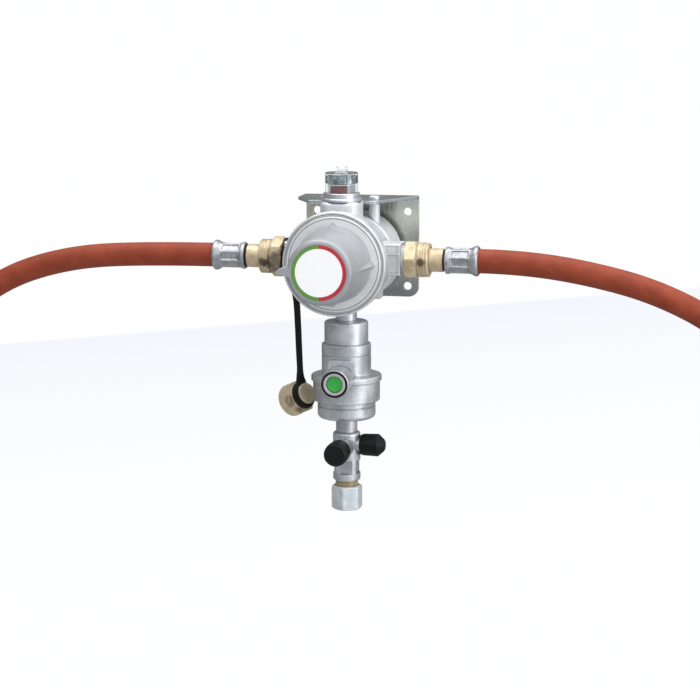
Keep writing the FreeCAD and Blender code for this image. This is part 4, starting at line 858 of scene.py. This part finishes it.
# %% The room around the regulator
ROOM = 0.31
ROOM_TINT = {"Red": 0.985, "Green": 1.0, "Blue": 1.015}
WALLS = {
    "back": ((0.0, 1.0, 0.1), -0.06, 0.1, 0.95),
    "right": ((0.94, -0.34, 0.0), 0.40, 0.45, 1.0),
    "ceiling": ((0.1, -0.1, 1.0), 0.55, 0.3, 0.95),
    "floor": ((0.0, -0.4, -1.0), 0.22, 0.2, 0.9),
    "back right": ((0.85, 0.33, 0.42), 0.45, 0.75, 1.0),
    "high front": ((0.0, -0.80, 0.60), 0.68, 0.64, 1.0),
}

world = bpy.data.worlds.new("studio")
scene.world = world
world.use_nodes = True
room = Nodes(world.node_tree)
direction = room.node("ShaderNodeTexCoord").outputs["Generated"]
glow = ROOM
for towards, strength, begins, full in WALLS.values():
    facing = room.vector("DOT_PRODUCT", direction, Vector(towards).normalized(), "Value")
    glow = room.plus(glow, room.ranged(facing, 0.0, strength, begins, full, "SMOOTHSTEP"))
channels = {channel: room.times(glow, share) for channel, share in ROOM_TINT.items()}
room_colour = room.node("ShaderNodeCombineColor", channels).outputs["Color"]
world.node_tree.links.new(room_colour, world.node_tree.nodes["Background"].inputs["Color"])
print(len(WALLS), "walls around a room of", ROOM)


# %% Soft boxes
AIM = Vector((0, -0.06, -0.06))


def soft_box(name, azimuth, elevation, distance, size, glow):
    """A large soft box that points at the regulator; glow is how bright its face looks."""
    data = bpy.data.lights.new(name, "AREA")
    data.shape = "RECTANGLE"
    data.size, data.size_y = size
    data.energy = glow * math.pi * size[0] * size[1]
    lamp = bpy.data.objects.new(name, data)
    scene.collection.objects.link(lamp)
    around, height = math.radians(azimuth), math.radians(elevation)
    level = math.cos(height)
    away = Vector((math.sin(around) * level, -math.cos(around) * level, math.sin(height)))
    lamp.location = AIM + away * distance
    lamp.rotation_mode = "QUATERNION"
    lamp.rotation_quaternion = (-away).to_track_quat("-Z", "Y")
    return lamp


lamps = [
    soft_box("right_box", 67, 14, 1.3, (0.66, 1.2), 2.45),
    soft_box("top_box", 10, 94, 1.3, (1.7, 1.0), 2.6),
]
print(len(lamps), "soft boxes")

# %% [markdown]
# ## Finishes
#
# Every surface gets a small node tree: a base colour that varies in broad clouds, a fine grain that changes
# both gloss and height, and worn edges. The class below holds one material and adds the calls that only a
# finish needs. Image textures would need unwrapped meshes; three-dimensional noise needs none.


# %% A material and its node tree
class Finish(Nodes):
    """One material, with a short call for each kind of mark or texture that it uses."""

    def __init__(self, name, metallic=0.0, roughness=0.5):
        self.paint = bpy.data.materials.new(name)
        self.paint.use_nodes = True
        super().__init__(self.paint.node_tree)
        self.shader = self.tree.nodes["Principled BSDF"]
        self.fixed("Metallic", metallic)
        self.fixed("Roughness", roughness)
        self.place = self.node("ShaderNodeTexCoord").outputs["Object"]

    def fixed(self, socket, value):
        """Sets one of the shader's sockets to a constant."""
        self.shader.inputs[socket].default_value = value

    def wire(self, value, socket):
        """Connects a value to one of the shader's sockets."""
        self.tree.links.new(value, self.shader.inputs[socket])

    def noise(self, size, detail=2.0, place=None):
        """Noise whose spots are about the size, in millimetres."""
        wires = {"Vector": place or self.place, "Scale": 1 / (size * MM), "Detail": detail}
        return self.node("ShaderNodeTexNoise", wires).outputs["Fac"]

    def mixed(self, share, a, b):
        """A colour between a and b."""
        wires = {0: share, 6: a, 7: b}
        return self.node("ShaderNodeMix", wires, data_type="RGBA").outputs[2]

    def stretched(self, x, y, z):
        """Coordinates stretched so that noise grows into streaks."""
        return self.vector("MULTIPLY", self.place, (x, y, z))

    def lathe(self, base, axis):
        """Coordinates along and away from an axis, so that noise grows into turning marks."""
        axis = Vector(axis).normalized()
        offset = self.vector("SUBTRACT", self.place, Vector(base) * MM)
        along_axis = self.vector("DOT_PRODUCT", offset, axis, "Value")
        away = self.vector("LENGTH", self.vector("CROSS_PRODUCT", offset, axis), out="Value")
        return self.node("ShaderNodeCombineXYZ", {"X": along_axis, "Y": away}).outputs["Vector"]

    def rounded(self, radius):
        """The surface direction with every edge rounded, and how near an edge is."""
        soft = self.node("ShaderNodeBevel", {"Radius": radius * MM}, samples=6).outputs["Normal"]
        plain = self.node("ShaderNodeNewGeometry").outputs["Normal"]
        alike = self.vector("DOT_PRODUCT", soft, plain, "Value")
        return soft, self.ranged(alike, 0.0, 1.0, 0.995, 0.85)

    def ring_line(self, base, axis, radius, width):
        """A soft line of a radius and width round an axis, from 0 beside it to 1 in it."""
        away = self.node("ShaderNodeSeparateXYZ", {"Vector": self.lathe(base, axis)}).outputs["Y"]
        off = self.maths("ABSOLUTE", self.maths("SUBTRACT", away, radius * MM))
        return self.ranged(off, 1.0, 0.0, width * 0.25 * MM, width * 0.6 * MM)

    def height_share(self, low, high):
        """How far up a spot lies between two heights in millimetres."""
        up = self.node("ShaderNodeSeparateXYZ", {"Vector": self.place}).outputs["Z"]
        return self.ranged(up, 0.0, 1.0, low * MM, high * MM)

    def crevices(self, reach):
        """How deep in a groove or corner a spot lies, from 0 on open faces to 1."""
        sky = self.node("ShaderNodeAmbientOcclusion", {"Distance": reach * MM}, samples=8).outputs["AO"]
        return self.ranged(sky, 1.0, 0.0, 0.35, 0.88)

    def relief(self, height, depth, normal=None):
        """Bumps of a depth in millimetres."""
        wires = {"Height": height, "Distance": depth * MM, "Strength": 1.0}
        if normal is not None:
            wires["Normal"] = normal
        return self.node("ShaderNodeBump", wires).outputs["Normal"]


print("sizes of spots and depths of bumps are in millimetres")


# %% [markdown]
# ### Metals
#
# All the metals share one recipe and differ in its numbers: how light they are, how broad their clouds,
# how coarse their grain, and how worn their edges. Turned pieces also get fine rings round their axis.
# Grooves and corners get painted shade, and the cover gets painted shade lines at its joints.

# %% Metal recipe
EDGE_SHINE, PAINTED_SHADE, TARNISH = 1.18, 0.22, 0.16
PAINTED_SHADE_REACH, RING_SIZE = 1.6, 0.34
COVER_AXIS = ((0, 0, 0), (0, -1, 0))
# Painted shade lines at the cover's joints: radius, width and share, in millimetres.
COVER_SHADE_LINES = [(33.0, 0.5, 0.8), (30.2, 0.6, 1.0)]


def opaque(colour, strength=1.0):
    """A colour with its alpha, made lighter or darker."""
    return tuple(min(1.0, c * strength) for c in colour) + (1,)


def metal(
    name, dark, light, gloss, cloud=9.0, grain=0.5, grain_depth=0.012, edge=0.25, worn=0.5, marks=None,
    metallic=0.85, crevice_shade=0.6, shade_lines=(), stains=(), speckle=0.22,
):
    """A bare or plated metal; gloss is its roughness from and to, marks the axis of its turning rings."""
    made = Finish(name, metallic)
    patches = made.noise(cloud, 4.0)
    fine = made.noise(grain, 2.0)
    shade = made.ranged(patches, 0.0, 1.0)
    flecks = made.ranged(fine, -speckle, speckle, 0.3, 0.7)
    colour = made.mixed(made.plus(shade, flecks), opaque(dark), opaque(light))
    soft, near_edge = made.rounded(edge)
    colour = made.mixed(made.times(near_edge, worn), colour, opaque(light, EDGE_SHINE))
    height = fine
    if marks:
        rings = made.noise(RING_SIZE, 3.0, made.lathe(*marks))
        height = made.plus(made.ranged(rings, 0.0, 2.2, 0.3, 0.7), fine)
        colour = made.mixed(made.ranged(rings, 0.0, 0.35, 0.4, 0.7), colour, opaque(dark))
    # Painted shade: grooves and corners are darkened towards the dark colour.
    colour = made.mixed(made.times(made.crevices(PAINTED_SHADE_REACH), crevice_shade), colour, opaque(dark, PAINTED_SHADE))
    # Painted shade lines round the cover's axis, at its joints.
    for radius, width, share in shade_lines:
        line = made.times(made.ring_line(*COVER_AXIS, radius, width), share)
        colour = made.mixed(line, colour, opaque(dark, PAINTED_SHADE))
    for spot, size, share in stains:
        offset = made.vector("DISTANCE", made.place, Vector(spot) * MM, "Value")
        ragged = made.plus(offset, made.ranged(patches, -0.3 * size * MM, 0.3 * size * MM))
        stain = made.ranged(ragged, share, 0.0, size * 0.5 * MM, size * MM)
        colour = made.mixed(stain, colour, opaque(dark, TARNISH))
    made.wire(colour, "Base Color")
    made.wire(made.ranged(made.plus(patches, fine), *gloss, 0.7, 1.3), "Roughness")
    made.wire(made.relief(height, grain_depth, soft), "Normal")
    return made.paint


print("worn edges are", EDGE_SHINE, "times as bright as the metal")

# %% Every metal but brass
METALS = {
    "cast_metal": dict(
        dark=(0.46, 0.49, 0.52), light=(0.70, 0.73, 0.76), gloss=(0.28, 0.42), cloud=14, grain=0.9,
        grain_depth=0.07, crevice_shade=0.9, speckle=0.34,
    ),
    # A lighter copy of the cast metal for the body and rear cover: painted light.
    "lit_body_silver": dict(
        dark=(0.68, 0.71, 0.73), light=(0.80, 0.83, 0.85), gloss=(0.42, 0.54), cloud=14, grain=0.9,
        grain_depth=0.06, metallic=0.45, worn=0.4, crevice_shade=0.8, speckle=0.34,
    ),
    # A lighter copy of the cast metal for the clamp ring: painted light over the shade of its groove.
    "lit_clamp_silver": dict(
        dark=(0.68, 0.70, 0.72), light=(0.80, 0.82, 0.84), gloss=(0.36, 0.46), grain=0.9,
        grain_depth=0.05, metallic=0.6, worn=0.6, shade_lines=COVER_SHADE_LINES, crevice_shade=0.15,
    ),
    "cover_silver": dict(
        dark=(0.82, 0.84, 0.85), light=(0.93, 0.94, 0.95), gloss=(0.3, 0.4), cloud=14, grain=0.8,
        grain_depth=0.04, metallic=0.3, shade_lines=COVER_SHADE_LINES, crevice_shade=0.15,
    ),
    "knob_grey": dict(
        dark=(0.36, 0.375, 0.395), light=(0.42, 0.435, 0.455), gloss=(0.46, 0.56), cloud=20, grain=0.7,
        grain_depth=0.04, worn=0.3, metallic=0.3, crevice_shade=0.4,
    ),
    "zinc_nut": dict(
        dark=(0.62, 0.69, 0.74), light=(0.80, 0.86, 0.90), gloss=(0.28, 0.4), cloud=5, grain=0.4,
        metallic=0.5,
    ),
    "ferrule_metal": dict(
        dark=(0.34, 0.35, 0.375), light=(0.52, 0.53, 0.55), gloss=(0.36, 0.48), cloud=3.5, grain_depth=0.03,
        worn=0.7, crevice_shade=0.8, speckle=0.3,
    ),
    "spring_steel": dict(dark=(0.4, 0.4, 0.42), light=(0.6, 0.6, 0.62), gloss=(0.25, 0.4)),
    "ball_steel": dict(
        dark=(0.6, 0.6, 0.62), light=(0.75, 0.75, 0.77), gloss=(0.05, 0.12), grain_depth=0.002,
    ),
}
paints = {name: metal(name, **recipe) for name, recipe in METALS.items()}
print(sorted(paints))

# %% Brass, turned about each axis
BRASS_DARK, BRASS_LIGHT = (0.54, 0.42, 0.26), (0.76, 0.65, 0.46)


def brass(name, base, axis, stains=(), dark=BRASS_DARK):
    """Turned brass with rings round an axis, and tarnish where stains say."""
    return metal(
        name, dark, BRASS_LIGHT, (0.38, 0.52), cloud=6, grain=0.3, grain_depth=0.01,
        marks=(base, axis), metallic=0.5, stains=stains,
    )


INLET_STAINS = [
    ((-44.5, -69.0, -2.5), 10.0, 0.8), ((-47.5, -67.0, -7.5), 6.0, 0.7), ((-54.5, -68.4, -2.5), 3.6, 0.75),
    ((53.4, -68.6, 0.0), 3.0, 0.85),
]
CAP_STAINS = [((-38.0, -52.0, -100.0), 6.0, 0.6), ((-33.0, -55.0, -107.0), 4.0, 0.5)]
CAP_DARK = (0.60, 0.48, 0.32)

brass_paints = {
    "inlets": brass("brass_inlets", (0, INLET_Y, 0), (1, 0, 0), INLET_STAINS),
    "outlet": brass("brass_outlet", *OUTLET_AXIS),
    "right_end": brass("brass_right_end", tuple(ends_at(RIGHT_ROUTE, 1)), (0, 0, 1)),
    "left_end": brass("brass_left_end", tuple(ends_at(LEFT_ROUTE, -1)), (0, 0, 1)),
    "cap": brass("brass_cap", CAP_NECK, CAP_AXIS, CAP_STAINS, CAP_DARK),
}
paints["brass"] = brass_paints["outlet"]
print(len(brass_paints), "brass finishes")


# %% [markdown]
# ### Zinc-plated sheet
#
# The bracket is pressed from rolled sheet and passivated, which leaves a faint yellow-green bloom, long
# streaks from the rolls and darker blotches. Stretched noise gives the streaks, round noise the blotches.
# On top of that the sheet has painted shade towards the bottom, a painted bluish reflection along the top
# of the shelf, and painted highlights on its edges.

# %% Zinc plate
BLOOM, PLAIN = (0.55, 0.55, 0.43), (0.50, 0.51, 0.47)
STREAK, BLOTCH = (0.66, 0.68, 0.66), (0.26, 0.26, 0.28)
# Painted colours: shade low on the plate, a reflection on the shelf, highlights on the edges.
PAINTED_LOW_SHADE, SHELF_PAINTED_REFLECTION, SHEET_EDGE_HIGHLIGHT = (0.24, 0.25, 0.29), (0.50, 0.56, 0.66), (0.92, 0.94, 0.95)
SHADE_START, SHADE_END = -14, -40
SHELF_LOW, SHELF_HIGH = 31.0, 32.0


def zinc_sheet(name):
    """Rolled and passivated sheet, painted darker low down as shade, with a painted shelf reflection and edge
    highlights.
    """
    made = Finish(name, 1.0)
    streaks = made.noise(1.0, 3.0, made.stretched(1.0, 1.0, 0.06))
    blotches = made.noise(16, 3.0)
    bloom = made.noise(30, 2.0)
    colour = made.mixed(made.ranged(bloom, 0, 1, 0.4, 0.6), opaque(BLOOM), opaque(PLAIN))
    colour = made.mixed(made.ranged(streaks, 0, 0.5), colour, opaque(STREAK))
    colour = made.mixed(made.ranged(blotches, 0, 0.55, 0.52, 0.7), colour, opaque(BLOTCH))
    # Painted shade: the plate grows darker towards the bottom.
    colour = made.mixed(made.height_share(SHADE_START, SHADE_END), colour, opaque(PAINTED_LOW_SHADE))
    # Painted reflection: a bluish streaked band along the top of the shelf.
    shelf_reflection_marks = made.ranged(made.noise(5, 3.0, made.stretched(0.5, 1.0, 1.0)), 0.75, 0.1, 0.42, 0.6)
    shelf_reflection = made.times(made.height_share(SHELF_LOW, SHELF_HIGH), shelf_reflection_marks)
    colour = made.mixed(shelf_reflection, colour, opaque(SHELF_PAINTED_REFLECTION))
    soft, near_edge = made.rounded(0.6)
    # Painted highlight: the sheet's edges turn near white.
    colour = made.mixed(made.times(near_edge, 0.9), colour, opaque(SHEET_EDGE_HIGHLIGHT))
    made.wire(colour, "Base Color")
    made.wire(made.ranged(made.plus(blotches, streaks), 0.2, 0.34, 0.8, 1.2), "Roughness")
    made.wire(made.relief(streaks, 0.012, soft), "Normal")
    return made.paint


paints["zinc_plate"] = zinc_sheet("zinc_plate")
print("sheet finish ready")


# %% [markdown]
# ### Rubber, plastic and print
#
# None of these is metallic. Rubber is dull with a fine grain and a few pale scuffs, moulded plastic is
# smoother, and the printed disc has only the faintest tooth. The white print also glows very slightly: a
# painted glow that makes it a bluish white.

# %% Rubber and plastic recipe
def moulded(
    name, dark, light, gloss, cloud=10.0, grain=0.25, grain_depth=0.01, scuff=0.0, edge=0.2, shine=0.5,
):
    """Rubber, plastic or print; scuff is how pale its scuffs are, and shine how much it reflects."""
    made = Finish(name)
    made.fixed("Specular IOR Level", shine)
    patches = made.noise(cloud, 3.0)
    fine = made.noise(grain, 2.0)
    colour = made.mixed(made.ranged(patches, 0, 1), opaque(dark), opaque(light))
    soft, near_edge = made.rounded(edge)
    if scuff:
        scuffs = made.noise(2.2, 5.0, made.stretched(0.35, 1.0, 1.0))
        pale = tuple(min(1.0, c * 1.5 + 0.05) for c in light)
        amount = made.plus(made.ranged(scuffs, 0, scuff, 0.6, 0.8), made.times(near_edge, scuff * 0.5))
        colour = made.mixed(amount, colour, opaque(pale))
    made.wire(colour, "Base Color")
    made.wire(made.ranged(made.plus(patches, fine), *gloss, 0.7, 1.3), "Roughness")
    made.wire(made.relief(fine, grain_depth, soft), "Normal")
    return made.paint


print("rubber, plastic and print share one recipe")

# %% Every rubber, plastic and print
SOFTER = {
    "hose_rubber": dict(
        dark=(0.26, 0.043, 0.018), light=(0.33, 0.058, 0.025), gloss=(0.5, 0.65), cloud=12, grain=0.7,
        grain_depth=0.03, scuff=0.2, shine=0.28,
    ),
    "black_rubber": dict(
        dark=(0.003, 0.003, 0.004), light=(0.007, 0.007, 0.008), gloss=(0.4, 0.55), scuff=0.06, shine=0.22,
    ),
    "label_white": dict(dark=(0.95, 0.95, 0.96), light=(0.98, 0.98, 0.98), gloss=(0.35, 0.45)),
    "label_green": dict(dark=(0.12, 0.31, 0.05), light=(0.15, 0.35, 0.065), gloss=(0.35, 0.45)),
    "label_red": dict(dark=(0.56, 0.02, 0.04), light=(0.64, 0.03, 0.05), gloss=(0.35, 0.45)),
    "button_green": dict(dark=(0.03, 0.38, 0.055), light=(0.045, 0.47, 0.075), gloss=(0.2, 0.3)),
    "bezel_grey": dict(dark=(0.46, 0.46, 0.47), light=(0.54, 0.54, 0.55), gloss=(0.25, 0.35)),
    "indicator_dark": dict(dark=(0.05, 0.07, 0.075), light=(0.08, 0.1, 0.11), gloss=(0.3, 0.4)),
}
paints.update({name: moulded(name, **recipe) for name, recipe in SOFTER.items()})

# Painted glow on the white print, so that the label reads whiter.
LABEL_PAINTED_GLOW_COLOUR, LABEL_PAINTED_GLOW_STRENGTH = (0.92, 0.95, 1.0), 0.12
white_shader = paints["label_white"].node_tree.nodes["Principled BSDF"]
white_shader.inputs["Emission Color"].default_value = opaque(LABEL_PAINTED_GLOW_COLOUR)
white_shader.inputs["Emission Strength"].default_value = LABEL_PAINTED_GLOW_STRENGTH

field_paints = {
    "red_field": moulded("field_red", (0.22, 0.04, 0.05), (0.28, 0.06, 0.07), (0.3, 0.4)),
    "white_field": moulded("field_white", (0.8, 0.8, 0.8), (0.9, 0.9, 0.9), (0.3, 0.4)),
    "grey_field": moulded("field_grey", (0.3, 0.34, 0.36), (0.38, 0.42, 0.44), (0.3, 0.4)),
}
sleeve_paint = metal(
    "window_sleeve", (0.10, 0.125, 0.14), (0.34, 0.40, 0.43), (0.1, 0.18), cloud=4, grain=0.3,
    metallic=0.9, crevice_shade=0.0,
)
print(len(paints), "finishes so far")


# %% [markdown]
# ### Clear plastic
#
# The window is injection-moulded: clear, with a smooth face and a little waviness. Light has to pass right
# through both of its walls, so the shader transmits it instead of being made see-through with alpha.

# %% Clear cap
CLEAR_TINT, CLEAR_IOR = (0.91, 0.94, 0.955), 1.46


def clear_plastic(name):
    """Clear moulded cap with faint waves and a few fine scratches."""
    made = Finish(name, 0.0, 0.04)
    made.fixed("Transmission Weight", 1.0)
    made.fixed("IOR", CLEAR_IOR)
    made.fixed("Base Color", opaque(CLEAR_TINT))
    waves = made.noise(6, 2.0)
    scratches = made.noise(0.4, 3.0, made.stretched(1.0, 1.0, 0.08))
    made.wire(made.ranged(scratches, 0.02, 0.09, 0.5, 0.75), "Roughness")
    made.wire(made.relief(waves, 0.05), "Normal")
    return made.paint


paints["clear_cap"] = clear_plastic("clear_cap")
print("clear cap finish ready")

# %% [markdown]
# ## Dress every piece
#
# The record names one finish for each solid. New pieces and brass parts get theirs by hand, so that the
# turning marks run round the right axis.

# %% Finish for every solid
for row in frame["record"]["subparts"]:
    skin = nodes[row["node"]].data.materials
    skin.clear()
    skin.append(paints[row["material_slot"]])
# The body, the rear cover and the clamp ring take lighter copies of the cast metal: painted light.
SILVERS = {
    "front_cover": "cover_silver", "cover_clamp_ring": "lit_clamp_silver",
    "regulator_body": "lit_body_silver", "rear_cover": "lit_body_silver",
}
for name, finish in SILVERS.items():
    nodes[name].data.materials[0] = paints[finish]

# %% Finish for every new piece
for label, (hose, route, side_sign, hose_length) in HOSES.items():
    hose.data.materials.append(paints["hose_rubber"])
    for part in ("_hose_stem", "_union_nut"):
        nodes[label + part].data.materials[0] = brass_paints["inlets"]
    for part in ("_cylinder_stem", "_cylinder_nut"):
        nodes[label + part].data.materials[0] = brass_paints[label + "_end"]
    union_nuts[label].data.materials.append(brass_paints["inlets"])
nodes["blind_cap"].data.materials[0] = brass_paints["cap"]
for name, field in FIELDS.items():
    field.data.materials.append(field_paints.get(name, field_paints["white_field"]))

new_pieces = [
    (paints["ferrule_metal"], ferrules.values()),
    (paints["black_rubber"], [*shoulders.values(), *port_caps.values(), gasket, band, *strap_rings]),
    (paints["zinc_nut"], [tube_nut]),
    (paints["cast_metal"], [socket_wall]),
    (paints["spring_steel"], [plunger_spring]),
    (paints["indicator_dark"], [drum]),
    (paints["button_green"], [button]),
    (brass_paints["outlet"], [outlet_thread]),
    (sleeve_paint, [sleeve]),
]
for finish, pieces in new_pieces:
    for piece in pieces:
        piece.data.materials.append(finish)
print("new pieces dressed")

# %% Floor and backdrop finish
TINT_ACROSS, TINT_END, TINT_DEPTH = (-0.629, 0.778, 0.0), 1.410, 1.18
TINT_EDGE, TINT_CURVE = 0.03, 1.6
FLOOR_TINT = (0.895, 0.925, 0.975)


def stage_paint(name, tinted):
    """A pale finish that glows a little; the floor takes a faint blue tint towards the back."""
    made = Finish(name, 0.0, 0.6)
    made.fixed("Base Color", (0, 0, 0, 1))
    made.fixed("Specular IOR Level", 0.0)
    made.fixed("Emission Strength", 1.0)
    cloud = made.noise(900, 2.0)
    white = made.mixed(cloud, (1.0, 1.0, 1.0, 1), (0.995, 0.998, 1.0, 1))
    if tinted:
        depth = made.vector("DOT_PRODUCT", made.place, TINT_ACROSS, "Value")
        rise = made.ranged(depth, 0.0, 1.0, TINT_END - TINT_DEPTH, TINT_END)
        drop = made.ranged(depth, 1.0, 0.0, TINT_END, TINT_END + TINT_EDGE)
        share = made.times(made.maths("POWER", rise, TINT_CURVE), drop)
        white = made.mixed(share, white, opaque(FLOOR_TINT))
    made.wire(white, "Emission Color")
    return made.paint


floor.data.materials.append(stage_paint("floor_paint", True))
wall.data.materials.append(stage_paint("backdrop_paint", False))
print("floor and backdrop finished")

# %% [markdown]
# ## The hoses' far ends
#
# Each hose hangs freely with a fitting on its end. Its plain solid is hidden, and the pieces that hang on
# its far end are gathered: the fitting's stem, nut and seal, the crimped sleeve and the rubber shoulder.

for label, (hose, route, side_sign, hose_length) in HOSES.items():
    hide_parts(label + "_gas_hose")
    far_pieces = [nodes[label + part] for part in ("_cylinder_stem", "_cylinder_nut", "_cylinder_seal")]
    far_pieces += [ferrules[label + "_end"], shoulders[label + "_end_shoulder"]]
    print(hose.name, "of", hose_length, "m")
